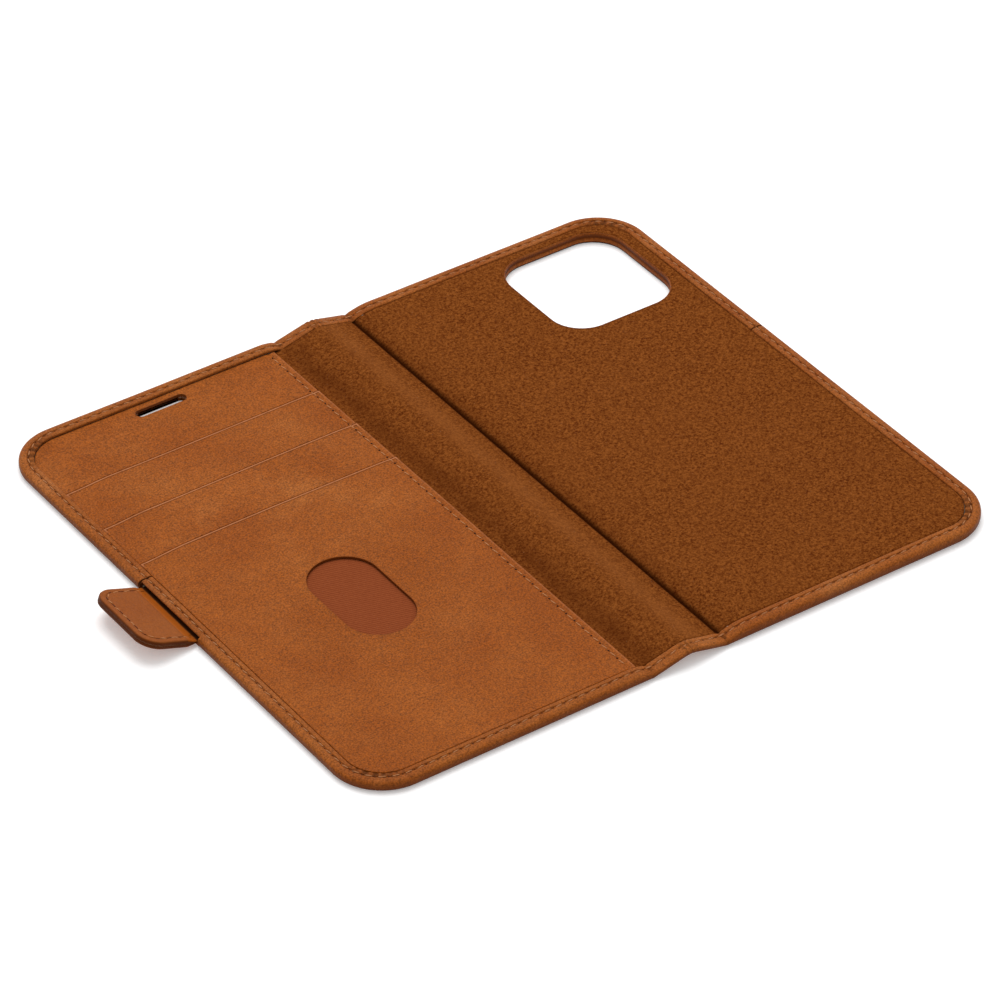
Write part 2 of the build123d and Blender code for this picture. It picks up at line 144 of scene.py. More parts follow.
def wobble(x, y):
    slow = noise.noise(Vector((x / 23, y / 23, 1.5)))
    quick = noise.noise(Vector((x / 7, y / 7, 8.5)))
    return 0.07 * slow + 0.03 * quick


def bend_case(x, y, drawn):
    """Outer leather and hem."""
    share = drawn / DRAWN
    pinch = 0.3 * bell(x - REAR, 0.6) + 0.25 * bell(x - FRONT, 0.6) + 0.15 * bell(x - RIDGE, 0.5)
    in_hem = ease((max(NEAR + 4.2 - y, y - FAR + 4.2)) / 0.8)
    ripple = math.sin(4.6 * (x - RIDGE) + 0.8 * math.sin(2.3 * y))
    crumple = 0.17 * ripple * bell(x - RIDGE - 0.4, 1.9) * in_hem
    lift = underside(x) + share * (thickness(x) - pinch + crumple) + share * wobble(x, y)
    return x, y, max(lift, 0.0)


def bend_fleece(x, y, drawn):
    """Fleece: a deeper valley at the rear fold, and low under the card panels."""
    share = drawn / DRAWN
    thick = thickness(x)
    if x < FRONT:
        thick = SPINE_THICK - 0.25 * ease((FRONT - x) / 2.4)
    groove = 0.8 * bell(x - REAR, 0.5) + 0.12 * bell(x - REAR, 2.2) + 0.12 * bell(x - FRONT, 1.0)
    lift = underside(x) + share * (thick - groove + 1.4 * wobble(x + 40, y))
    return x, y, lift


def bend_card(x, y, height):
    """Card panels: real heights, with a slight fall to their spine edge."""
    dip = 0.14 * (1 - ease((FRONT - 2.4 - x) / 5.0))
    return x, y, height - dip + 0.8 * wobble(x, y)


print("ridge top", round(bend_case(RIDGE, 0, DRAWN)[2], 2), "mm")

# %% [markdown]
# ## Flat drawing tools
# A rim is a short list of points, each an inset from the outline and a height,
# swept once round the outline. The flat middle is one face, cut at its holes, and
# a grid of straight cuts then gives the sheet enough points to bend. Each point
# remembers where it lay when flat, so that the grain sticks to the leather, and
# how burnished or raw it is and how much painted shade it carries.

# %% Outlines


def steps(start, end, step, extra=()):
    """Places from start to end, end left out, with some wanted places among them."""
    count = max(1, round(abs(end - start) / step))
    places = [start + (end - start) * i / count for i in range(count)]
    low, high = min(start, end), max(start, end)
    places += [place for place in extra if low + 1e-4 < place < high - 1e-4]
    return sorted(set(round(place, 6) for place in places), reverse=end < start)


def rounded_box(left, right, near, far, radii, step=2.5, extra_x=(), extra_y=(), turns=18):
    """Outline, counter-clockwise. radii are those of the left and the right corners."""
    r_left, r_right = radii
    points = [(x, near) for x in steps(left + r_left, right - r_right, step, extra_x)]
    points += corner(right - r_right, near + r_right, r_right, -90, turns)
    points += [(right, y) for y in steps(near + r_right, far - r_right, step, extra_y)]
    points += corner(right - r_right, far - r_right, r_right, 0, turns)
    points += [(x, far) for x in steps(right - r_right, left + r_left, step, extra_x)]
    points += corner(left + r_left, far - r_left, r_left, 90, turns)
    points += [(left, y) for y in steps(far - r_left, near + r_left, step, extra_y)]
    points += corner(left + r_left, near + r_left, r_left, 180, turns)
    return tidy([Vector(point) for point in points])


def corner(x, y, radius, start, turns):
    """Points of a quarter circle, its end left out."""
    angles = [math.radians(start + 90 * i / turns) for i in range(turns)]
    return [(x + radius * math.cos(a), y + radius * math.sin(a)) for a in angles]


def tidy(points):
    """Drop points that coincide with the one before."""
    kept = []
    for point in points:
        if not kept or (point - kept[-1]).length > 1e-4:
            kept.append(point)
    if (kept[0] - kept[-1]).length < 1e-4:
        kept.pop()
    return kept


def inward(points):
    """Direction into the sheet at each point, longer at sharp corners."""
    ways = []
    for i, point in enumerate(points):
        before = (point - points[i - 1]).normalized()
        after = (points[(i + 1) % len(points)] - point).normalized()
        both = (before + after).normalized()
        across = Vector((-both.y, both.x))
        ways.append(across / max(0.4, across.dot(Vector((-before.y, before.x)))))
    return ways


# %% Rims, middles and cuts
PLAIN = (0.0, 0.0, 0.0)


def new_sheet():
    sheet = bmesh.new()
    sheet.verts.layers.float_vector.new("place")
    sheet.verts.layers.float_vector.new("finish")
    return sheet


def rim(sheet, points, section):
    """Sweep a section round an outline. Returns its first and its last loop."""
    finish = sheet.verts.layers.float_vector["finish"]
    rows = []
    for point, way in zip(points, inward(points)):
        row = []
        for entry in section(point) if callable(section) else section:
            inset, height = entry[:2]
            spot = point + way * inset
            vertex = sheet.verts.new((spot.x, spot.y, height))
            vertex[finish] = entry[2] if len(entry) > 2 else PLAIN
            row.append(vertex)
        rows.append(row)
    for i, row in enumerate(rows):
        beside = rows[(i + 1) % len(rows)]
        for j in range(len(row) - 1):
            sheet.faces.new((row[j], beside[j], beside[j + 1], row[j + 1]))
    return [row[0] for row in rows], [row[-1] for row in rows]


def stretch(loop, start, end):
    """The points of a closed loop from start to end, both kept."""
    first, last = loop.index(start), loop.index(end)
    return loop[first:last + 1] if first <= last else loop[first:] + loop[:last + 1]


def middle(sheet, outer, holes=()):
    """Fill an outline that has holes, cut from edge to edge at each hole's middle."""
    if not holes:
        sheet.faces.new(outer)
        return
    cuts = []
    for hole in sorted(holes, key=lambda loop: loop[0].co.x):
        x = (min(v.co.x for v in hole) + max(v.co.x for v in hole)) / 2
        y = (min(v.co.y for v in hole) + max(v.co.y for v in hole)) / 2
        ends = [min((v for v in loop if (v.co.y > y) == above), key=lambda v: abs(v.co.x - x))
                for loop in (outer, hole) for above in (False, True)]
        cuts.append((*ends, hole))
    near, far, low, high, hole = cuts[0]
    sheet.faces.new(stretch(outer, far, near) + stretch(hole, high, low)[::-1])
    for this, after in zip(cuts, cuts[1:]):
        near, far, low, high, hole = this
        next_near, next_far, next_low, next_high, next_hole = after
        face = stretch(outer, near, next_near) + stretch(next_hole, next_high, next_low)[::-1]
        sheet.faces.new(face + stretch(outer, next_far, far) + stretch(hole, low, high)[::-1])
    near, far, low, high, hole = cuts[-1]
    sheet.faces.new(stretch(outer, near, far) + stretch(hole, low, high)[::-1])


def cut_grid(sheet, xs, ys):
    """Straight cuts right through the sheet."""
    for places, axis in ((xs, Vector((1, 0, 0))), (ys, Vector((0, 1, 0)))):
        for place in places:
            everything = sheet.verts[:] + sheet.edges[:] + sheet.faces[:]
            bmesh.ops.bisect_plane(sheet, geom=everything, dist=1e-4,
                                   plane_co=axis * place, plane_no=axis)


def bend(sheet, rule):
    """Remember each point's flat place, then move it by the rule."""
    place = sheet.verts.layers.float_vector["place"]
    for vertex in sheet.verts:
        vertex[place] = vertex.co * MM
        vertex.co = rule(*vertex.co)
    bmesh.ops.recalc_face_normals(sheet, faces=sheet.faces[:])


def keep_between(sheet, low, high):
    """A copy of the sheet between two cuts, with its cut ends closed."""
    part = sheet.copy()
    outside = [f for f in part.faces if not low < f.calc_center_median().x < high]
    bmesh.ops.delete(part, geom=outside, context="FACES")
    edges = [edge for edge in part.edges if edge.is_boundary]
    if edges:
        bmesh.ops.holes_fill(part, edges=edges, sides=0)
    bmesh.ops.recalc_face_normals(part, faces=part.faces[:])
    return part


def add_object(name, data):
    item = bpy.data.objects.new(name, data)
    bpy.context.scene.collection.objects.link(item)
    return item


def make_object(name, sheet, material, sharp=38):
    """The finished mesh, in metres, with its sharp edges marked."""
    mesh = bpy.data.meshes.new(name)
    sheet.to_mesh(mesh)
    sheet.free()
    mesh.transform(Matrix.Scale(MM, 4))
    mesh.shade_smooth()
    mesh.set_sharp_from_angle(angle=math.radians(sharp))
    mesh.materials.append(material)
    print(name, len(mesh.polygons), "faces")
    return add_object(name, mesh)


# %% [markdown]
# ## Finishes
# Leather, fleece and thread are all built from noise at sizes that a hand could
# feel: clouds of colour over centimetres, pores under a millimetre. The effects
# that several materials share are node groups. Each group only gives a colour, a
# roughness and a height, and the shader stays in the material.

# %% Node helpers


def tone(red, green, blue):
    """A colour as a paint chart gives it, turned to the light it reflects."""
    parts = [part / 255 for part in (red, green, blue)]
    light = [p / 12.92 if p <= 0.04045 else ((p + 0.055) / 1.055) ** 2.4 for p in parts]
    return (*light, 1.0)


class Tree:
    """Short words for adding nodes to one tree and wiring them."""

    def __init__(self, tree):
        self.tree = tree

    def add(self, kind, inputs=None, **settings):
        node = self.tree.nodes.new(kind)
        for key, value in settings.items():
            setattr(node, key, value)
        for key, value in (inputs or {}).items():
            self.feed(node.inputs[key], value)
        return node

    def feed(self, socket, value):
        """Wire the socket, or set it when the value is a plain one."""
        if isinstance(value, bpy.types.NodeSocket):
            self.tree.links.new(value, socket)
        else:
            socket.default_value = value

    def get(self, output, kind, inputs=None, **settings):
        """Add a node and return one of its outputs."""
        return self.add(kind, inputs, **settings).outputs[output]

    def plus(self, first, second):
        return self.get(0, "ShaderNodeMath", {0: first, 1: second}, operation="ADD")

    def times(self, first, second, clamp=False):
        return self.get(0, "ShaderNodeMath", {0: first, 1: second}, operation="MULTIPLY", use_clamp=clamp)

    def mix(self, factor, first, second, blend="MIX"):
        given = {0: factor, 6: first, 7: second}
        return self.get(2, "ShaderNodeMix", given, data_type="RGBA", blend_type=blend)

    def noise(self, place, scale, detail=3.0, rough=0.5):
        given = {"Vector": place, "Scale": scale, "Detail": detail, "Roughness": rough}
        return self.get("Fac", "ShaderNodeTexNoise", given)

    def spread(self, value, low, high, to_low=0.0, to_high=1.0):
        given = {"Value": value, "From Min": low, "From Max": high, "To Min": to_low, "To Max": to_high}
        return self.get(0, "ShaderNodeMapRange", given)

    def stored(self, name):
        """What each point of the piece remembers under a name."""
        return self.get("Vector", "ShaderNodeAttribute", attribute_name=name)


def new_group(name, kind_of_tree, inputs, outputs):
    """An empty group: its tree, its short words, what it is given and what it puts out."""
    tree = bpy.data.node_groups.new(name, kind_of_tree)
    for label, kind, value in inputs:
        socket = tree.interface.new_socket(label, in_out="INPUT", socket_type=kind)
        if value is not None:
            socket.default_value = value
    for label, kind in outputs:
        tree.interface.new_socket(label, in_out="OUTPUT", socket_type=kind)
    work = Tree(tree)
    return tree, work, work.add("NodeGroupInput").outputs, work.add("NodeGroupOutput").inputs


# %% Leather grain group


def make_leather_group():
    colours = [(label, "NodeSocketColor", None) for label in ("Main", "Deep", "Worn", "Edge burnish and shade", "Raw")]
    tree, t, given, out = new_group(
        "Leather grain", "ShaderNodeTree",
        [("Place", "NodeSocketVector", None), ("Finish", "NodeSocketVector", None), *colours,
         ("Pores per metre", "NodeSocketFloat", 1500.0),
         ("Speckle", "NodeSocketFloat", 0.2), ("Clouds", "NodeSocketFloat", 0.6)],
        [("Color", "NodeSocketColor"), ("Roughness", "NodeSocketFloat"), ("Height", "NodeSocketFloat")],
    )
    place, clouds = given["Place"], given["Clouds"]
    burnish_and_shade_mask, bare, painted_shade = t.add("ShaderNodeSeparateXYZ", {0: given["Finish"]}).outputs
    # clouds of deeper and of worn colour
    cloud = t.spread(t.noise(place, 26.0, 3.0, 0.55), 0.36, 0.66)
    patch = t.spread(t.noise(place, 75.0, 5.0, 0.62), 0.48, 0.72)
    worn = t.times(t.times(cloud, clouds), patch, clamp=True)
    deep = t.times(t.spread(t.noise(place, 48.0, 4.0, 0.6), 0.62, 0.38), clouds, clamp=True)
    colour = t.mix(deep, given["Main"], given["Deep"])
    colour = t.mix(worn, colour, given["Worn"])
    # fine specks
    speck = t.noise(place, 2300.0, 2.0, 0.7)
    speck_wide = t.noise(place, 700.0, 3.0, 0.7)
    both = t.plus(t.spread(speck, 0.3, 0.7, -0.6, 0.6), t.spread(speck_wide, 0.3, 0.7, -0.14, 0.14))
    light = t.plus(t.times(both, given["Speckle"]), 1.0)
    grey = t.get(0, "ShaderNodeCombineColor", {0: light, 1: light, 2: light})
    colour = t.mix(1.0, colour, grey, "MULTIPLY")
    # burnished edges, darkened further as painted shade on the side walls; raw edges, also used as a
    # painted highlight on the camera band's crest; painted shade in creases, furrows and gaps
    uneven = t.spread(t.noise(place, 160.0, 4.0, 0.6), 0.2, 0.75, 1.0, 0.85)
    colour = t.mix(t.times(burnish_and_shade_mask, uneven, clamp=True), colour, given["Edge burnish and shade"])
    frayed = t.spread(t.noise(place, 700.0, 3.0, 0.7), 0.3, 0.6, 0.55, 1.0)
    colour = t.mix(t.times(bare, frayed, clamp=True), colour, given["Raw"])
    # painted shade: near black mixed in by the finish's third value
    colour = t.mix(painted_shade, colour, (0.012, 0.003, 0.001, 1.0))
    t.feed(out["Color"], colour)
    rough = t.plus(t.spread(speck_wide, 0.3, 0.7, 0.47, 0.6), t.times(painted_shade, 0.3))
    t.feed(out["Roughness"], t.plus(rough, t.times(worn, 0.06)))
    # pores
    cells = {"Vector": place, "Scale": given["Pores per metre"], "Randomness": 1.0}
    walls = t.get("Distance", "ShaderNodeTexVoronoi", cells, feature="DISTANCE_TO_EDGE")
    fine = t.noise(place, 2600.0, 2.0, 0.6)
    height = t.plus(t.times(t.spread(walls, 0.0, 0.22), 0.7), t.times(fine, 0.5))
    t.feed(out["Height"], t.plus(height, t.times(patch, 0.35)))
    return tree


LEATHER_GROUP = make_leather_group()


def new_material(name, roughness=0.6):
    """An empty material with its shader; returns the material, its tree and its shader."""
    material = bpy.data.materials.new(name)
    material.use_nodes = True
    work = Tree(material.node_tree)
    shader = material.node_tree.nodes["Principled BSDF"]
    shader.inputs["Roughness"].default_value = roughness
    return material, work, shader


def wire_finish(t, shader, colour, roughness, height, depth):
    t.feed(shader.inputs["Base Color"], colour)
    if roughness is not None:
        t.feed(shader.inputs["Roughness"], roughness)
    bump = t.get("Normal", "ShaderNodeBump", {"Height": height, "Strength": 1.0, "Distance": depth})
    t.feed(shader.inputs["Normal"], bump)


def warm_shine(shader, level):
    """A weak shine with the warm tint of waxed leather."""
    shader.inputs["Specular IOR Level"].default_value = level
    shader.inputs["Specular Tint"].default_value = (1.0, 0.62, 0.36, 1.0)


# edge is the colour of burnished edges, also used as painted shade on the side walls
def leather_material(name, main, deep, worn, edge, raw,
                     pores=1500.0, speckle=0.8, clouds=0.9, depth=0.00007):
    material, t, shader = new_material(name)
    group = t.add("ShaderNodeGroup", {
        "Place": t.stored("place"), "Finish": t.stored("finish"), "Main": main, "Deep": deep, "Worn": worn,
        "Edge burnish and shade": edge, "Raw": raw, "Pores per metre": pores, "Speckle": speckle, "Clouds": clouds,
    }, node_tree=LEATHER_GROUP).outputs
    wire_finish(t, shader, group["Color"], group["Roughness"], group["Height"], depth)
    warm_shine(shader, 0.12)
    return material


# the fourth colour of each leather is for burnished edges and also serves as painted shade on the side
# walls
outer_leather = leather_material(
    "outer_leather", tone(152, 85, 34), tone(138, 71, 24), tone(166, 102, 54),
    tone(88, 38, 6), tone(178, 118, 78))
card_leather = leather_material(
    "card_leather", tone(149, 79, 26), tone(138, 69, 18), tone(162, 94, 42),
    tone(96, 42, 8), tone(178, 112, 72), pores=1900.0, depth=0.00006)
rim_leather = leather_material(
    "rim_leather", tone(142, 74, 24), tone(122, 58, 16), tone(156, 88, 38),
    tone(80, 32, 3), tone(156, 100, 60))
tab_leather = leather_material(
    "tab_leather", tone(142, 76, 30), tone(136, 68, 24), tone(150, 85, 40),
    tone(66, 24, 2), tone(162, 80, 10), pores=2200.0, speckle=0.3, clouds=0.4, depth=0.00002)
print("leathers made")

# %% Fleece, twill and thread


def make_fleece():
    material, t, shader = new_material("fleece", 0.95)
    place = t.stored("place")
    fibre = t.noise(place, 2600.0, 2.0, 0.75)
    tuft = t.noise(place, 1300.0, 2.0, 0.65)
    brushed = t.noise(place, 60.0, 4.0, 0.55)
    grain = t.plus(t.spread(fibre, 0.36, 0.64, 0.0, 0.5), t.spread(tuft, 0.36, 0.64, 0.0, 0.5))
    colour = t.mix(grain, tone(84, 34, 5), tone(148, 84, 34))
    colour = t.mix(t.spread(brushed, 0.4, 0.7, 0.0, 0.15), colour, tone(134, 74, 30))
    painted_fold_shade, lighter_by_ridge, painted_shade = t.add("ShaderNodeSeparateXYZ", {0: t.stored("finish")}).outputs
    patchy = t.spread(t.noise(place, 110.0, 4.0, 0.6), 0.35, 0.65, 0.55, 1.0)
    # painted shade near the folds
    colour = t.mix(t.times(painted_fold_shade, patchy, clamp=True), colour, tone(82, 35, 6))
    # lighter beside the ridge
    colour = t.mix(t.times(lighter_by_ridge, patchy, clamp=True), colour, tone(150, 88, 42))
    # painted shade in the rear crease
    colour = t.mix(painted_shade, colour, tone(52, 18, 1))
    wire_finish(t, shader, colour, None, t.plus(fibre, t.times(tuft, 0.6)), 0.00035)
    warm_shine(shader, 0.03)
    return material


def make_twill():
    material, t, shader = new_material("twill", 0.8)
    place = t.stored("place")
    slant = (0, 0, math.radians(-36))
    turned = t.get(0, "ShaderNodeMapping", {"Vector": place, "Rotation": slant})
    weave = {"Vector": turned, "Scale": 450.0, "Distortion": 1.2, "Detail": 2.0, "Detail Scale": 1.5}
    ribs = t.get("Fac", "ShaderNodeTexWave", weave, bands_direction="X")
    fuzz = t.noise(place, 1700.0, 3.0, 0.7)
    colour = t.mix(t.plus(t.times(ribs, 0.4), t.times(fuzz, 0.6)), tone(110, 46, 20), tone(152, 80, 44))
    wire_finish(t, shader, colour, None, t.plus(ribs, fuzz), 0.00008)
    shader.inputs["Specular IOR Level"].default_value = 0.04
    return material


def make_thread(name, dark, light):
    material, t, shader = new_material(name, 0.55)
    place = t.get("Object", "ShaderNodeTexCoord")
    twist = {"Vector": place, "Scale": 900.0, "Distortion": 2.0, "Detail": 1.0}
    ply = t.get("Fac", "ShaderNodeTexWave", twist, bands_direction="DIAGONAL")
    fuzz = t.noise(place, 2500.0, 2.0, 0.6)
    colour = t.mix(t.plus(t.times(ply, 0.6), t.times(fuzz, 0.4)), dark, light)
    wire_finish(t, shader, colour, None, ply, 0.00004)
    shader.inputs["Specular IOR Level"].default_value = 0.1
    return material


fleece = make_fleece()
twill = make_twill()
thread = make_thread("thread", tone(160, 98, 54), tone(200, 142, 97))
# the hole materials colour the painted shade in the needle holes
needle_hole_shade = make_thread("needle_hole_shade", tone(66, 24, 4), tone(92, 38, 9))
seam_hole_shade = make_thread("seam_hole_shade", tone(36, 10, 1), tone(54, 18, 3))
print("fleece, twill and thread made")

# %% [markdown]
# ## Outer leather
# The real skin is one piece of leather. It runs under both covers and the spine,
# rolls over every edge and comes back over the top as the hem. Here its section is
# a C: the underside, the rounded edge, the hem with its sewn furrow, the hem's cut
# edge, and the inside face again. At the tab the edge is slit open, and at the four
# corners the hem is gathered in small pleats.

# %% The section of the skin
FURROW = 0.2
SEWN_TOP = 2.98 - FURROW
TAB_MIDDLE = hinge["tab_fold"].y
SLIT_HALF = 12.6
SLIT_LOW = TAB_MIDDLE - SLIT_HALF
SLIT_HIGH = TAB_MIDDLE + SLIT_HALF
PLEATS = 9
# Inset, height and burnish of the rounded edge; the burnish darkens the wall, partly as real burnished
# edge, partly as painted shade on the side walls.
EDGE_SHAPE = [
    (1.35, 0.0, 0.6), (0.8, 0.08, 0.9), (0.4, 0.3, 1.0), (0.12, 0.7, 1.0), (0.0, 1.2, 0.9),
    (0.0, 1.85, 0.7), (0.05, 2.2, 0.45), (0.16, 2.45, 0.2), (0.36, 2.68, 0.05), (0.7, 2.86, 0.0),
    (1.2, 2.97, 0.0),
]
NICK_WIDE = 0.45
HEM_JOIN = FAR - 64.4


def at_slit(point):
    return point.x < LEFT + 0.01 and SLIT_LOW < point.y < SLIT_HIGH


def nick(point):
    """1 in the short cuts across the hem, where its turned edge is pieced."""
    if point.x < LEFT + 0.01 and SLIT_HIGH < point.y < SLIT_HIGH + NICK_WIDE:
        return 1.0
    if point.x > RIGHT - 0.01 and HEM_JOIN < point.y < HEM_JOIN + NICK_WIDE:
        return 0.6
    return 0.0


def pleat(point):
    """How deep the gathers are at a point of the outline, from 0 to 1."""
    from_x = max(LEFT + CORNER - point.x, point.x - (RIGHT - CORNER), 0.0)
    from_y = max(NEAR + CORNER - point.y, point.y - (FAR - CORNER), 0.0)
    if from_x <= 0 or from_y <= 0:
        return 0.0
    angle = math.atan2(from_y, from_x)
    fade = math.sin(2 * angle)
    return fade * abs(math.sin(angle * 2 * PLEATS + math.sin(5 * angle)))


def skin_section(point):
    """Insets, heights and finish of the skin at one place on the outline; the finish carries painted shade.
    """
    gather = pleat(point)
    cut = nick(point)
    low = [(4.6, 0.0), (2.62, 0.0), (2.48, FURROW), (2.12, FURROW), (1.98, 0.0)]
    section = [(inset, height, (0.25, 0, 0)) for inset, height in low]
    if at_slit(point):
        # painted shade on the inner floor of the slit
        lips = [(1.2, 0.0), (0.55, 0.0), (0.3, 0.2), (0.3, 0.5), (0.5, 0.72), (3.2, 0.78),
                (3.2, 2.38), (0.95, 2.42), (0.78, 2.56), (0.84, 2.82), (1.1, 2.94)]
        section += [(inset, height, (0.2, 0, 0.62 if inset > 3 else 0.0)) for inset, height in lips]
    else:
        for inset, height, burnish_and_shade in EDGE_SHAPE:
            # painted shade inside the nick
            deep = cut * ease((height / DRAWN - 0.3) / 0.5)
            section.append((inset + 0.25 * deep, height - 0.3 * deep, (burnish_and_shade, 0, 0.9 * deep)))
    # painted shade in the sewn furrow, at the hem's cut edge, in the gathers and in the nick
    over = [(1.8, 3.02, 0.0), (1.98, 2.98, 0.04), (2.12, SEWN_TOP, 0.16), (2.48, SEWN_TOP, 0.16),
            (2.62, 3.0, 0.04), (3.1, 3.05, 0.0), (3.5, 2.98, 0.0), (3.7, 2.88, 0.02), (HEM, 2.72, 0.12)]
    for inset, height, dark in over:
        drop = gather * 0.28 * ease((inset - 1.6) / 1.5) + 0.4 * cut
        section.append((inset, height - drop, (0, 0, min(1.0, dark + 2.4 * drop + 0.3 * cut))))
    # painted shade on the hem's cut edge
    section += [(HEM, 2.25, (0, 0, 0.35)), (3.66, 2.2)]
    if at_slit(point):
        section += [(3.64, 2.1), (3.62, 1.9), (3.6, 1.2), (3.62, 1.0)]
    else:
        section += [(1.6, 2.15), (0.95, 1.7), (0.95, 1.25), (1.4, 0.92)]
    section.append((4.6, 0.9))
    return section


# %% Cut and bend the skin
CAMERA_LOW, CAMERA_HIGH = box_mm("back_camera_rim")
CAMERA_RADIUS = 9.0 + 1.2
CAMERA_X = (CAMERA_LOW.x + CAMERA_HIGH.x) / 2
SPEAKER_X = FRONT - 36.9
SPEAKER_Y = NEAR + 150.9
SPEAKER = (14.0, 2.7)
CUT_REAR = (REAR + RIDGE) / 2
CUT_FRONT = (FRONT + RIDGE) / 2
FINE_REACH = 7.2


def camera_loop(grow=0.0):
    low, high = CAMERA_LOW, CAMERA_HIGH
    radius = CAMERA_RADIUS + grow
    return rounded_box(low.x - grow, high.x + grow, low.y - grow, high.y + grow,
                       (radius, radius), 2.0, extra_x=(CAMERA_X,), turns=14)


def slot_loop(x, y, size, step, turns):
    """Outline of a slot with round ends."""
    half_x, half_y = size[0] / 2, size[1] / 2
    radius = min(half_x, half_y)
    return rounded_box(x - half_x, x + half_x, y - half_y, y + half_y,
                       (radius, radius), step, extra_x=(x,), turns=turns)


def speaker_loop():
    return slot_loop(SPEAKER_X, SPEAKER_Y, SPEAKER, 1.0, 8)


def fold_lines(low, high, fine=0.36, wide=6.0):
    """Cuts across the case: close together over the spine, wide on the covers."""
    left, right = FRONT - FINE_REACH, REAR + FINE_REACH
    stretches = ((low, left, wide), (left, CUT_FRONT, fine), (CUT_FRONT, CUT_REAR, fine),
                 (CUT_REAR, right, fine), (right, high, wide))
    places = [place for stretch_of in stretches for place in steps(*stretch_of)]
    return [place for place in places if low + 0.05 < place < high - 0.05]


def case_outline():
    fine = [FRONT - 7 + 0.72 * i for i in range(60) if FRONT - 7 + 0.72 * i < REAR + 7]
    slit = [SLIT_LOW - 0.015, SLIT_LOW + 0.015, SLIT_HIGH - 0.015, SLIT_HIGH + 0.015]
    for start in (SLIT_HIGH, HEM_JOIN):
        slit += [start - 0.03, start + 0.03, start + NICK_WIDE - 0.03, start + NICK_WIDE + 0.03]
    return rounded_box(LEFT, RIGHT, NEAR, FAR, (CORNER, CORNER), 2.5, turns=44,
                       extra_x=fine + [CAMERA_X, SPEAKER_X], extra_y=slit)


def make_skin():
    sheet = new_sheet()
    under, inside = rim(sheet, case_outline(), skin_section)
    # the hole walls take the burnish colour: partly real burnish, partly painted shade
    wall = [(0.12, 0.0, (0.6, 0, 0)), (0.0, 0.12, (0.7, 0, 0)), (0.0, 0.9, (0.7, 0, 0))]
    holes = [rim(sheet, loop[::-1], wall) for loop in (camera_loop(), speaker_loop())]
    middle(sheet, under, [pair[0][::-1] for pair in holes])
    middle(sheet, inside, [pair[1][::-1] for pair in holes])
    cut_grid(sheet, fold_lines(LEFT, RIGHT), steps(NEAR + 6, FAR - 5, 6.5))
    finish = sheet.verts.layers.float_vector["finish"]
    for vertex in sheet.verts:
        x = vertex.co.x
        # painted shade along the folds and the creases of the ridge
        crease_shade = 0.4 * bell(x - REAR, 0.4) + 0.2 * bell(x - FRONT, 0.4)
        crease_shade += 0.35 * bell(x - RIDGE + 1.0, 0.3) + 0.4 * bell(x - RIDGE - 0.4, 0.3)
        crease_shade += 0.3 * bell(x - RIDGE - 1.8, 0.3)
        if crease_shade > 0.02 and vertex.co.z > 1.2:
            burnish_and_shade, raw, dark = vertex[finish]
            vertex[finish] = (burnish_and_shade, raw, min(1.0, dark + crease_shade))
    bend(sheet, bend_case)
    return sheet


# %% Divide the skin into its three spans
FOLD_BAND = 2.6
RIDGE_BAND = 2.2
SPANS = {
    "back": (CUT_REAR, RIGHT + 9, ("back_cover", "spine_rear", REAR, FOLD_BAND)),
    "ridge": (CUT_FRONT, CUT_REAR, ("spine_rear", "spine_front", RIDGE, RIDGE_BAND)),
    "front": (LEFT - 9, CUT_FRONT, ("spine_front", "front_cover", FRONT, FOLD_BAND)),
}


def over_fold(piece, first, second, x, band):
    """Bake the piece's transform into its mesh; the piece is not bent over the fold. first and second are
    not used.
    """
    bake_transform(piece)


def settle(piece, on, slot, *nodes):
    """Join a piece to one body, or only bake its transform when given a fold, and hide the frame parts that
    it stands for.
    """
    if isinstance(on, str):
        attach(piece, on)
    else:
        over_fold(piece, *on)
    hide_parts(*nodes)


def divide(sheet, prefix, material, sharp, slot, nodes):
    """Cut a sheet into its three spans, one over each fold."""
    pieces = []
    for span, (low, high, fold) in SPANS.items():
        piece = make_object(f"{prefix}_{span}", keep_between(sheet, low, high), material, sharp)
        settle(piece, fold, slot, *nodes[span])
        pieces.append(piece)
    sheet.free()
    return pieces


skins = divide(make_skin(), "case_leather", outer_leather, 38, "outer_leather", {
    "back": ["back_outer_leather"], "ridge": ["spine_rear_leather", "spine_front_leather"],
    "front": ["front_outer_leather"]})

# %% [markdown]
# ## Fleece lining
# One sheet of brown microfibre is glued over the back cover and the spine, and ends
# under the card panels. It is a thin slab with a soft upper edge. The valley at the
# rear fold is pressed in by the same kind of rule as the rest.

# %% Make the fleece
FLEECE_TOP = 2.9
FLEECE_LOW = 2.25
FLEECE_TUCK = 7.5
FLEECE_GAP = 0.12
FLEECE_EDGE = -0.85


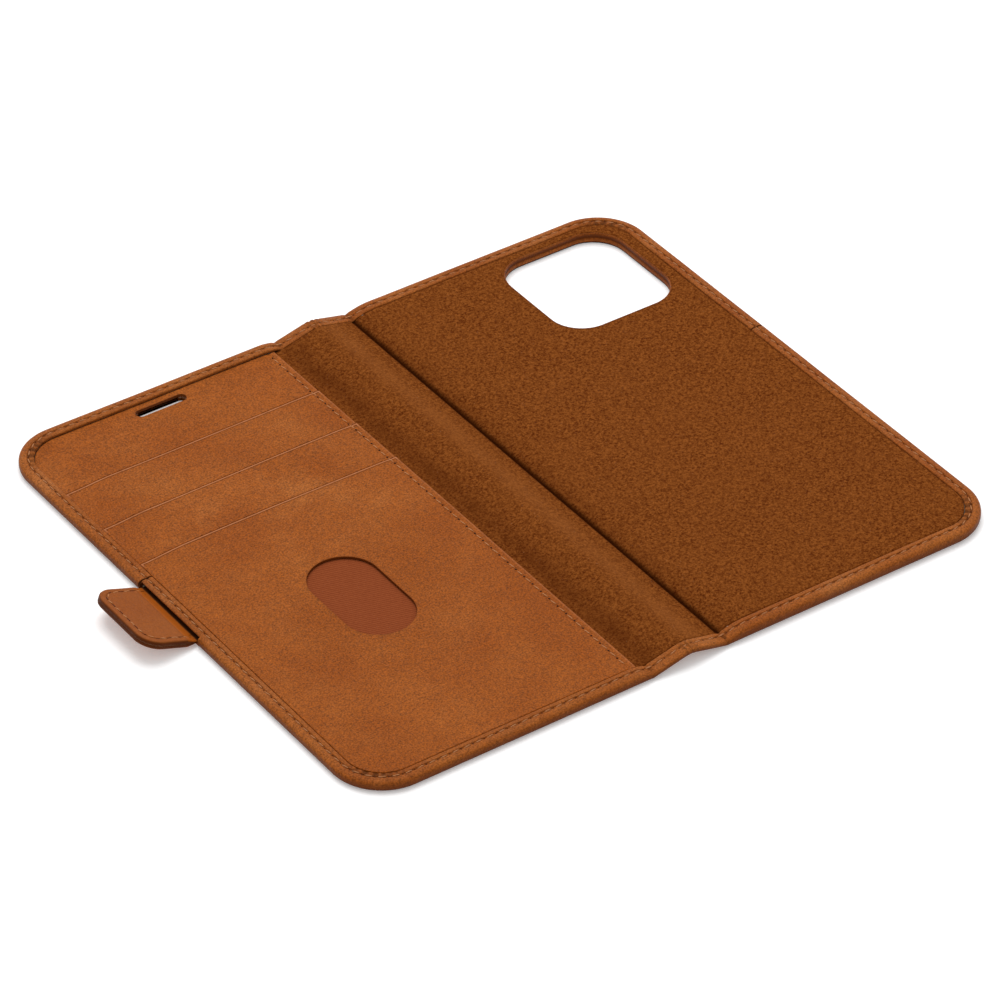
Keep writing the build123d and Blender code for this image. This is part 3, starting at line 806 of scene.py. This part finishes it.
def make_fleece_sheet():
    sheet = new_sheet()
    inset = HEM + FLEECE_GAP
    outline = rounded_box(FRONT - FLEECE_TUCK, RIGHT - inset, NEAR + inset, FAR - inset,
                          (0.6, CORNER - inset), 2.0, extra_x=(CAMERA_X,), turns=24)
    edge = [(0.7, FLEECE_LOW), (0.0, FLEECE_LOW), (0.0, FLEECE_TOP - 0.35), (0.08, FLEECE_TOP - 0.15),
            (0.25, FLEECE_TOP - 0.04), (0.7, FLEECE_TOP)]
    low, high = rim(sheet, outline, edge)
    hole_low, hole_high = rim(sheet, camera_loop(FLEECE_EDGE)[::-1], edge)
    middle(sheet, low, [hole_low[::-1]])
    middle(sheet, high, [hole_high[::-1]])
    lines = fold_lines(FRONT - FLEECE_TUCK, RIGHT - inset, 0.3, 3.0)
    cut_grid(sheet, lines, steps(NEAR + 6, FAR - 5, 3.2))
    finish = sheet.verts.layers.float_vector["finish"]
    for vertex in sheet.verts:
        x = vertex.co.x
        # painted shade near the folds and in the rear crease
        painted_fold_shade = 0.6 * bell(x - FRONT - 1.5, 3.2) + 0.25 * bell(x - REAR - 1.5, 2.5)
        # lighter beside the ridge
        lighter_by_ridge = 0.45 * bell(x - RIDGE - 3.5, 3.0)
        crease_and_shade = 0.85 * bell(x - REAR - 0.1, 0.5) + 0.25 * bell(x - REAR, 1.1)
        vertex[finish] = (painted_fold_shade, lighter_by_ridge, min(crease_and_shade, 0.95))
    bend(sheet, bend_fleece)
    return sheet


fleeces = divide(make_fleece_sheet(), "fleece", fleece, 60, "fleece", {
    "back": ["back_lining"], "ridge": ["spine_rear_lining", "spine_front_lining"],
    "front": ["front_lining"]})

# %% [markdown]
# ## Band round the camera opening
# A strip of leather is rolled over the edge of the opening: a soft crest on the
# inside, a wall in two layers with a crease between them, and a thin lip below.

# %% Make the band
# Inset, height and finish down the band: a painted highlight on the crest, a little lighter on the lower
# wall, painted shade just inside the crest, the burnish colour on the upper wall as painted shade, and near
# black at the foot as painted shade.
CAMERA_BAND = [
    (1.15, 2.2), (0.5, 2.55), (0.32, 2.78, (0, 0, 0.3)), (0.16, 2.84, (0, 0.2, 0)),
    (0.04, 2.72, (0, 0.1, 0)), (0.0, 2.5, (0.4, 0, 0)), (0.03, 2.2, (0.9, 0, 0)),
    (0.14, 1.75, (1, 0, 0.1)), (0.16, 1.5, (0.9, 0, 0.1)),
    (0.04, 1.3, (0.2, 0, 0)), (0.0, 0.8, (0.1, 0.15, 0)), (0.01, 0.5, (0.1, 0, 0)),
    (0.03, 0.42, (0.9, 0, 0.8)), (0.1, 0.16, (0.9, 0, 0.85)), (0.3, 0.0, (0.9, 0, 0.5)),
    (1.15, 0.0, (0.6, 0, 0)), (1.18, 0.3), (1.18, 2.1),
]


def make_camera_band():
    sheet = new_sheet()
    first, last = rim(sheet, camera_loop(-1.2)[::-1], CAMERA_BAND)
    for i in range(len(first)):
        j = (i + 1) % len(first)
        sheet.faces.new((first[i], last[i], last[j], first[j]))
    bend(sheet, bend_case)
    return make_object("camera_band", sheet, rim_leather)


settle(make_camera_band(), "back_cover", "rim_leather", "back_camera_rim")

# %% [markdown]
# ## Card panels
# Four thin leathers lie one above the other like roof tiles, and each top edge but
# the first is the mouth of a pocket. The leather is cut, not turned, so the edge
# shows its pale inside. The mouths sag a little at the hem side, where cards pull.

# %% Make the card panels
CARD_LEATHER = 0.6
CARD_GAP = 0.07
MOUTHS = [NEAR + 134.0 - 16.6 * i for i in range(3)]
MOUTH_OPEN = 0.34
WINDOW = (17.6, 31.6)
WINDOW_X = FRONT - 38.9
WINDOW_Y = NEAR + 60.9
CARD_RIGHT = FRONT - 2.4
CARD_LEFT = LEFT + HEM + CARD_GAP
CARD_NEAR = NEAR + HEM + CARD_GAP
CARD_FAR = FAR - HEM - CARD_GAP
CARD_NODES = ["card_panel_top", "card_strip_1", "card_strip_2", "card_panel_main"]
CARD_TOP_DROP = 0.06


def mouth_line(number, x):
    """A pocket mouth: level, but sagging towards the free edge."""
    sag = 0.8 * ease((CARD_LEFT + 13 - x) / 13) + 0.25 * math.sin((x - LEFT) / 19 + number)
    return MOUTHS[number] - sag


def panel_outline(number, extra=()):
    """Counter-clockwise; panel 0 is the top strip and 3 the main one."""
    radius = CORNER - HEM - CARD_GAP
    across = steps(CARD_LEFT, CARD_RIGHT, 2.0, extra) + [CARD_RIGHT]
    level = [x for x in across if x > CARD_LEFT + radius]
    if number < 3:
        low = [(x, mouth_line(number, x) + MOUTH_OPEN) for x in across]
    else:
        low = corner(CARD_LEFT + radius, CARD_NEAR + radius, radius, 180, 24)
        low += [(x, CARD_NEAR) for x in level]
    if number:
        high = [(x, mouth_line(number - 1, x)) for x in across[::-1]]
    else:
        high = [(x, CARD_FAR) for x in level[::-1]]
        high += corner(CARD_LEFT + radius, CARD_FAR - radius, radius, 90, 24)
        high.append((CARD_LEFT, CARD_FAR - radius))
    right = [(CARD_RIGHT, y) for y in steps(low[-1][1], high[0][1], 2.0)[1:]]
    left = [(CARD_LEFT, y) for y in steps(high[-1][1], low[0][1], 2.0)[1:]]
    return tidy([Vector(point) for point in low + right + high + left])


def panel_floor(number):
    return box_mm(CARD_NODES[number])[0].z


def panel_top(number):
    return panel_floor(number) + CARD_LEATHER - CARD_TOP_DROP


def cut_edge(number):
    """Section of a card panel's edge: pale at the mouth, less so along the spine side, with painted shade
    in a dip just behind the mouth.
    """
    low, high = panel_floor(number), panel_top(number)

    def section(point):
        raw = 0.0
        if number and abs(point.y - mouth_line(number - 1, point.x)) < 0.05:
            raw = 1.0
        elif point.x > CARD_RIGHT - 0.02:
            raw = 0.3
        pale, faint = (0, raw, 0), (0, 0.85 * raw, 0)
        # the dip behind the mouth, and its painted shade
        crease_and_shade = 0.04 if raw == 1.0 else 0.0
        return [(1.1, low), (0.0, low, pale), (0.0, high - 0.15, pale), (0.05, high - 0.03, pale),
                (0.14, high + 0.02, pale), (0.5, high + 0.03, faint),
                (0.56, high - crease_and_shade, (0, 0, 10 * crease_and_shade)), (0.72, high - crease_and_shade, (0, 0, 8 * crease_and_shade)),
                (0.84, high), (1.1, high)]

    return section


def hole_edge(shelf, low, high):
    """Section of a hole's edge; it hangs down to low, and the leather's underside is at shelf."""
    # the wall takes the burnish colour: partly real burnish, partly painted shade
    return [(0.5, shelf), (0.0, low, (1, 0, 0)), (0.0, high - 0.12, (1, 0, 0)),
            (0.04, high - 0.03, (0.7, 0, 0)), (0.14, high, (0.2, 0, 0)), (0.5, high)]


def bend_seamed(x, y, height):
    """As a card panel, with the furrow of the seam pressed in from above."""
    x, y, z = bend_card(x, y, height)
    return x, y, z - 0.16 * bell(x - SEAM, 0.34)


def make_card_panel(number):
    holes = {0: (speaker_loop(), SPEAKER_X),
             3: (slot_loop(WINDOW_X, WINDOW_Y, WINDOW, 1.5, 20), WINDOW_X)}
    sheet = new_sheet()
    loop, hole_x = holes.get(number, (None, None))
    outline = panel_outline(number, (hole_x,) if loop else ())
    low, high = rim(sheet, outline, cut_edge(number))
    hole_low, hole_high = [], []
    if loop:
        shelf = panel_floor(number)
        edge = hole_edge(shelf, 0.12 if number == 0 else shelf, panel_top(number))
        hole_rows = rim(sheet, loop[::-1], edge)
        hole_low, hole_high = [[row[::-1]] for row in hole_rows]
    middle(sheet, low, hole_low)
    middle(sheet, high, hole_high)
    across = steps(CARD_LEFT + 3, CARD_RIGHT - 5, 4.0) + [SEAM + 0.14 * i for i in range(-6, 7)]
    cut_grid(sheet, across, steps(CARD_NEAR + 4, CARD_FAR - 2, 4.0))
    bend(sheet, bend_seamed)
    return make_object(f"card_leather_{number}", sheet, card_leather)


for number, node in enumerate(CARD_NODES):
    settle(make_card_panel(number), "front_cover", "card_leather", node)

# %% [markdown]
# ## Pocket cloth
# Behind each mouth hangs a thin ribbed cloth, glued under the strip above. The one
# of the main pocket is what shows through the window. Its ribs run aslant, as they
# do in a twill.

# %% Make the pocket cloths


def flat_size(piece):
    """Width, length and area of one face of a sheet when it lay flat, in metres."""
    places = [item.vector.copy() for item in piece.data.attributes["place"].data]
    total = 0.0
    for polygon in piece.data.polygons:
        corners = [places[index] for index in polygon.vertices]
        twice = sum(a.x * b.y - b.x * a.y for a, b in zip(corners, corners[1:] + corners[:1]))
        total += abs(twice) / 2
    width = max(p.x for p in places) - min(p.x for p in places)
    length = max(p.y for p in places) - min(p.y for p in places)
    return width, length, total / 2


def declare_sheet(piece):
    width, length, area = flat_size(piece)
    print(piece.name, "cut to", round(width / MM, 1), "x", round(length / MM, 1), "mm")


def make_pocket_cloth(number):
    low, high = box_mm(f"pocket_cloth_{number}")
    sheet = new_sheet()
    outline = rounded_box(low.x, high.x, low.y, high.y, (1.0, 1.0), 3.0, turns=3)
    edge = [(0.2, low.z), (0.0, low.z + 0.03), (0.0, high.z - 0.03), (0.2, high.z)]
    first, last = rim(sheet, outline, edge)
    middle(sheet, first)
    middle(sheet, last)
    cut_grid(sheet, steps(low.x + 2, high.x, 3.0), steps(low.y + 2, high.y, 3.0))
    bend(sheet, lambda x, y, z: (x, y, z + 0.5 * wobble(x, y)))
    return make_object(f"pocket_twill_{number}", sheet, twill)


for number in (1, 2, 3):
    cloth = make_pocket_cloth(number)
    settle(cloth, "front_cover", "pocket_cloth", f"pocket_cloth_{number}")
    declare_sheet(cloth)
for piece in fleeces:
    declare_sheet(piece)

# %% [markdown]
# ## Closing tab
# A soft strap comes out of the slit in the hem and carries a stiff pad: two leathers
# with magnets between them, sewn round three sides. It is drawn flat like the case,
# with its own rule: level inside the slit, then rising from the fold.

# %% Make the tab
TAB = hinge["tab_fold"]
TAB_TILT = math.radians(20)
TAB_BEND = 0.8
PAD_START = 1.4
TAB_ROOT = -3.4
TAB_REACH = 13.2
TAB_HALF = 12.1
PAD_HALF = 1.05
PAD_CORNER = 5.0
TAB_STITCH_INSET = 1.7


def tab_half(out):
    """Half the thickness: the pad's, falling to the thin strap before the slit."""
    return 0.3 + (PAD_HALF - 0.3) * ease((out + 1.4) / (PAD_START + 1.6))


def bend_tab(out, y, height):
    """out is the way from the fold towards the free edge of the tab."""
    span = math.hypot(out, TAB_BEND)
    angle = TAB_TILT * (1 + out / span) / 2
    lift = math.sin(TAB_TILT) * (out + span) / 2 - 0.15 * (1 - ease((out + 1.8) / 1.6))
    reach = out * math.cos(TAB_TILT) if out > 0 else out
    height = height * tab_half(out) / PAD_HALF
    x = TAB.x - reach + height * math.sin(angle)
    z = TAB.z + lift + height * math.cos(angle) + 0.5 * wobble(x * 3, y * 3)
    return x, TAB.y + y, z


def tab_outline(inset=0.0):
    return rounded_box(TAB_ROOT, TAB_REACH - inset, inset - TAB_HALF, TAB_HALF - inset,
                       (0.3, PAD_CORNER - inset), 0.8, turns=14)


def make_tab_leather(name, side):
    """One of the two leathers of the tab: side 1 faces up, side -1 down."""
    # inset, height and finish: painted shade along the lower edge and in the stitch furrow, and the burnish
    # colour on the wall, partly real burnish, partly painted shade
    section = [
        (3.0, 0.02), (0.1, 0.02, (0, 0, 0.8)), (0.03, 0.05, (0.4, 0, 0.5)), (0.0, 0.14, (1, 0, 0)),
        (0.0, 0.55, (1, 0, 0)), (0.06, 0.76, (0.8, 0, 0)), (0.2, 0.93, (0.3, 0, 0)), (0.45, 1.02),
        (1.3, 1.05), (1.52, 1.02, (0, 0, 0.06)), (1.6, 0.93, (0, 0, 0.2)), (1.8, 0.93, (0, 0, 0.2)),
        (1.88, 1.02, (0, 0, 0.06)), (2.1, 1.05), (3.0, 1.05),
    ]
    section = [(inset, side * height, *rest) for inset, height, *rest in section]
    sheet = new_sheet()
    first, last = rim(sheet, tab_outline(), section)
    middle(sheet, first)
    middle(sheet, last)
    across = steps(TAB_ROOT + 0.4, PAD_START + 1.0, 0.16) + steps(PAD_START + 1.6, TAB_REACH, 1.4)
    cut_grid(sheet, across, steps(-TAB_HALF + 1, TAB_HALF, 1.6))
    finish = sheet.verts.layers.float_vector["finish"]
    for vertex in sheet.verts:
        out = vertex.co.x
        if abs(vertex.co.z) > 0.7 and out < PAD_START + 0.5:
            bare = ease((out + 1.3) / 0.4) * (1 - ease((out - PAD_START) / 0.3))
            # painted shade on the strap inside the slit, and a line of it where the pad begins
            painted_tab_shade = 0.9 * (1 - ease((out + 1.45) / 0.35)) + 0.2 * bell(out - PAD_START - 0.3, 0.2)
            vertex[finish] = (vertex[finish][0], 0.9 * bare, max(vertex[finish][2], painted_tab_shade))
    bend(sheet, bend_tab)
    return make_object(name, sheet, tab_leather)


TAB_BAND = 1.0
TAB_FOLD = ("front_cover", "tab", TAB.x, TAB_BAND)
settle(make_tab_leather("tab_face", 1), TAB_FOLD, "card_leather", "tab_inner_leather")
settle(make_tab_leather("tab_back", -1), TAB_FOLD, "outer_leather",
       "tab_outer_leather", "tab_strip", "tab_tongue")

# %% [markdown]
# ## Sewing
# Every row is the same thing: a thread that dips through the leather at even steps.
# One node tree lays a small spindle of thread between each pair of needle holes,
# and a flat dark disc of painted shade in each hole. It follows any path, so all rows share it.

# %% The sewing tree


def make_sewing_tree():
    sizes = {"Pitch": 0.0031, "Stitch length": 0.002, "Thread width": 0.00032, "Hole length": 0.00048,
             "Hole width": 0.0003, "Slant": 0.1, "Unevenness": 0.06}
    sockets = [("Geometry", "NodeSocketGeometry", None)]
    sockets += [(label, "NodeSocketFloat", value) for label, value in sizes.items()]
    sockets += [("Seed", "NodeSocketInt", 3), ("Thread", "NodeSocketMaterial", None),
                ("Hole", "NodeSocketMaterial", None)]
    result = [("Geometry", "NodeSocketGeometry")]
    tree, t, given, out = new_group("Sewn row", "GeometryNodeTree", sockets, result)
    # even steps along the path, and the way from each step to the next
    line = t.get("Curve", "GeometryNodeMeshToCurve", {"Mesh": given["Geometry"]})
    spacing = {"Curve": line, "Length": given["Pitch"]}
    even = t.get("Curve", "GeometryNodeResampleCurve", spacing, mode="LENGTH")
    chain = t.get("Mesh", "GeometryNodeCurveToMesh", {"Curve": even})
    ends = t.add("GeometryNodeInputMeshEdgeVertices").outputs
    between = {0: ends["Position 2"], 1: ends["Position 1"]}
    way = t.get(0, "ShaderNodeVectorMath", between, operation="SUBTRACT")
    note = {"Geometry": chain, "Name": "way", "Value": way}
    vector = {"data_type": "FLOAT_VECTOR"}
    noted = t.get("Geometry", "GeometryNodeStoreNamedAttribute", note, domain="EDGE", **vector)
    middles = t.get("Points", "GeometryNodeMeshToPoints", {"Mesh": noted}, mode="EDGES")
    read_way = t.get("Attribute", "GeometryNodeInputNamedAttribute", {"Name": "way"}, **vector)
    along = t.get("Rotation", "FunctionNodeAlignRotationToVector", {"Vector": read_way}, axis="X")
    # each thread turns a little in its holes
    draw = {2: -1.0, 3: 1.0, "Seed": given["Seed"]}
    uneven = t.get(1, "FunctionNodeRandomValue", draw, data_type="FLOAT")
    turn = t.plus(t.times(uneven, given["Unevenness"]), given["Slant"])
    spin = t.get(0, "FunctionNodeAxisAngleToRotation", {"Axis": (0, 0, 1), "Angle": turn})
    turned = {"Rotation": along, "Rotate By": spin}
    pose = t.get(0, "FunctionNodeRotateRotation", turned, rotation_space="LOCAL")
    thin = given["Thread width"]
    size = t.get(0, "ShaderNodeCombineXYZ", {0: given["Stitch length"], 1: thin, 2: thin})
    spindle = t.get("Mesh", "GeometryNodeMeshUVSphere", {"Segments": 8, "Rings": 5, "Radius": 0.5})
    threads = {"Points": middles, "Instance": spindle, "Rotation": pose, "Scale": size}
    # a flat dark disc at each needle hole, as painted shade in the hole
    wide = given["Hole width"]
    hole_shade_size = t.get(0, "ShaderNodeCombineXYZ", {0: given["Hole length"], 1: wide, 2: t.times(wide, 0.3)})
    hole_shade = t.get("Mesh", "GeometryNodeMeshUVSphere", {"Segments": 8, "Rings": 4, "Radius": 0.5})
    half_way = t.get(0, "ShaderNodeVectorMath", {0: read_way, "Scale": 0.5}, operation="SCALE")
    moved = t.get("Geometry", "GeometryNodeSetPosition", {"Geometry": middles, "Offset": half_way})
    hole_shades = {"Points": moved, "Instance": hole_shade, "Rotation": along, "Scale": hole_shade_size}
    made = []
    for copies, finish in ((threads, given["Thread"]), (hole_shades, given["Hole"])):
        placed = t.get("Instances", "GeometryNodeInstanceOnPoints", copies)
        real = t.get(0, "GeometryNodeRealizeInstances", {0: placed})
        smooth = t.get(0, "GeometryNodeSetShadeSmooth", {0: real})
        made.append(t.get(0, "GeometryNodeSetMaterial", {"Geometry": smooth, "Material": finish}))
    both = t.add("GeometryNodeJoinGeometry")
    for geometry in made:
        tree.links.new(geometry, both.inputs[0])
    t.feed(out["Geometry"], both.outputs[0])
    return tree


SEWING = make_sewing_tree()


def sew(name, runs, **settings):
    """Sew along each run of points, in millimetres. Returns a plain mesh object."""
    mesh = bpy.data.meshes.new(name)
    points, edges = [], []
    for run in runs:
        first = len(points)
        points += [Vector(point) * MM for point in run]
        edges += [(i, i + 1) for i in range(first, len(points) - 1)]
    mesh.from_pydata(points, edges, [])
    row = add_object(name, mesh)
    modifier = row.modifiers.new("Sewn row", "NODES")
    modifier.node_group = SEWING
    settings = {"Thread": thread, "Hole": needle_hole_shade, **settings}
    for item in SEWING.interface.items_tree:
        if item.in_out == "INPUT" and item.name in settings:
            modifier[item.identifier] = settings[item.name]
    evaluated = row.evaluated_get(bpy.context.evaluated_depsgraph_get())
    sewn = bpy.data.meshes.new_from_object(evaluated)
    row.modifiers.clear()
    row.data = sewn
    sewn.name = name
    print(name, len(sewn.polygons), "faces")
    return row


# %% Sew the hems
THREAD_LIFT = 0.07
UNDER_LIFT = -0.02


def runs_where(points, wanted):
    """The unbroken runs of a closed loop whose points pass the test."""
    count = len(points)
    start = next((i for i in range(count) if not wanted(points[i])), 0)
    runs, run = [], []
    for i in range(start, start + count + 1):
        point = points[i % count]
        if wanted(point) and i < start + count:
            run.append(point)
        elif run:
            runs.append(run)
            run = []
    return [run for run in runs if len(run) > 1]


def hem_runs(low, high, drawn, lift):
    """Paths along the hem furrow between two cuts across the case."""
    outline = case_outline()
    furrow = [point + way * STITCH_INSET for point, way in zip(outline, inward(outline))]
    runs = runs_where(furrow, lambda point: low < point.x < high)
    lifted = []
    for run in runs:
        bent = [Vector(bend_case(point.x, point.y, drawn)) for point in run]
        lifted.append([point + Vector((0, 0, lift)) for point in bent])
    return lifted


HEM_ROWS = {
    "back": ("back_hem_sewing", ["back_hem_thread"]),
    "ridge": ("spine_sewing", ["spine_rear_thread", "spine_front_thread"]),
    "front": ("front_hem_sewing", ["front_hem_thread"]),
}
for span, (name, nodes) in HEM_ROWS.items():
    low, high, fold = SPANS[span]
    inside_runs = hem_runs(low, high, SEWN_TOP, THREAD_LIFT)
    outside_runs = hem_runs(low, high, FURROW, UNDER_LIFT)
    row = sew(name, inside_runs + outside_runs, **{"Pitch": PITCH * MM})
    settle(row, fold, "thread", *nodes)

# %% Sew the card panels and the tab
SEAM_LIFT = 0.08
TAB_THREAD_AT = 0.99


def seam_point(y):
    """A place on the seam line, on top of the card panel that lies there."""
    number = sum(1 for i in range(3) if y < mouth_line(i, SEAM))
    return Vector(bend_seamed(SEAM, y, panel_top(number))) + Vector((0, 0, SEAM_LIFT))


seam_run = [seam_point(y) for y in steps(CARD_NEAR + 1.5, CARD_FAR - 1.0, 1.0)]
seam = sew("card_seam_sewing", [seam_run], **{
    "Pitch": 0.0033, "Stitch length": 0.0022, "Hole length": 0.00056, "Hole width": 0.00052,
    "Hole": seam_hole_shade})
settle(seam, "front_cover", "thread", "card_seam_thread")

tab_runs = []
for side in (1, -1):
    for run in runs_where(tab_outline(TAB_STITCH_INSET), lambda point: point.x > -0.9):
        tab_runs.append([Vector(bend_tab(p.x, p.y, side * TAB_THREAD_AT)) for p in run])
tab_row = sew("tab_sewing", tab_runs, **{
    "Stitch length": 0.0019, "Hole length": 0.0014, "Hole width": 0.00036})
settle(tab_row, TAB_FOLD, "thread", "tab_thread")

# %% [markdown]
# ## What is sealed inside
# Boards, magnets and the steel strip keep their own shapes. They never show while
# the case is whole, but they still get the finish that they would have.

# %% Finish the inner parts


def board_material():
    material, t, shader = new_material("grey_board", 0.9)
    fibre = t.noise(t.get("Object", "ShaderNodeTexCoord"), 900.0, 5.0, 0.7)
    colour = t.mix(fibre, tone(120, 108, 90), tone(166, 152, 130))
    wire_finish(t, shader, colour, None, fibre, 0.0001)
    return material


def metal_material(name, dark, light, roughness):
    material, t, shader = new_material(name, roughness)
    grain = t.noise(t.get("Object", "ShaderNodeTexCoord"), 700.0, 4.0, 0.7)
    wire_finish(t, shader, t.mix(grain, dark, light), None, grain, 0.00001)
    shader.inputs["Metallic"].default_value = 1.0
    return material


board = board_material()
magnet = metal_material("nickel", tone(176, 174, 170), tone(214, 212, 208), 0.22)
steel = metal_material("plain_steel", tone(150, 150, 150), tone(190, 190, 192), 0.4)
INNER = {"back_board": board, "front_board": board, "tab_stiffener": board,
         "back_holder_magnets": magnet, "tab_magnets": magnet, "back_keeper_plate": steel}
for node, finish in INNER.items():
    mesh = frame["nodes"][node].data
    mesh.materials.clear()
    mesh.materials.append(finish)
print("inner parts", len(INNER))

# %% [markdown]
# ## Floor, light and camera
# A pale floor, one broad soft light overhead and a bright room all round. The
# camera is a long lens held well above the near corner of the front cover.

# %% Floor
floor_mesh = bpy.data.meshes.new("floor")
FLOOR_HALF = 6.0
JUST_UNDER = -0.00005
sides = ((-1, -1), (1, -1), (1, 1), (-1, 1))
floor_mesh.from_pydata([(FLOOR_HALF * x, FLOOR_HALF * y, JUST_UNDER) for x, y in sides], [], [(0, 1, 2, 3)])
floor = add_object("floor", floor_mesh)
floor_material, _, floor_shader = new_material("pale_floor", 0.9)
floor_shader.inputs["Base Color"].default_value = (0.94, 0.94, 0.94, 1)
floor_shader.inputs["Specular IOR Level"].default_value = 0.1
floor_shader.inputs["Emission Color"].default_value = (1, 1, 1, 1)
floor_shader.inputs["Emission Strength"].default_value = 0.22
floor_mesh.materials.append(floor_material)

# %% Light
world = bpy.data.worlds.new("room")
world.use_nodes = True
world.node_tree.nodes["Background"].inputs["Color"].default_value = (1, 1, 1, 1)
world.node_tree.nodes["Background"].inputs["Strength"].default_value = 0.62
bpy.context.scene.world = world


def soft_light(name, place, size, power):
    """A square soft box that faces the middle of the case."""
    data = bpy.data.lights.new(name, "AREA")
    data.shape = "SQUARE"
    data.size = size
    data.energy = power
    lamp = add_object(name, data)
    lamp.location = place
    lamp.rotation_euler = (-Vector(place)).to_track_quat("-Z", "Y").to_euler()
    return lamp


soft_light("top_light", (0.25, 0.55, 1.3), 1.1, 14.0)
bpy.context.scene.view_settings.view_transform = "Standard"

# %% Camera
AIM = Vector((0.00518, -0.0036, 0.0))
AZIMUTH = math.radians(-34.84)
ELEVATION = math.radians(37.07)
DISTANCE = 1.3016
back_way = Vector((math.sin(AZIMUTH) * math.cos(ELEVATION), -math.cos(AZIMUTH) * math.cos(ELEVATION),
                   math.sin(ELEVATION)))
lens = bpy.data.cameras.new("camera")
lens.sensor_width = 36.0
lens.lens = 198.6
lens.clip_start = 0.05
camera = add_object("camera", lens)
camera.location = AIM + back_way * DISTANCE
camera.rotation_euler = (-back_way).to_track_quat("-Z", "Y").to_euler()
bpy.context.scene.camera = camera
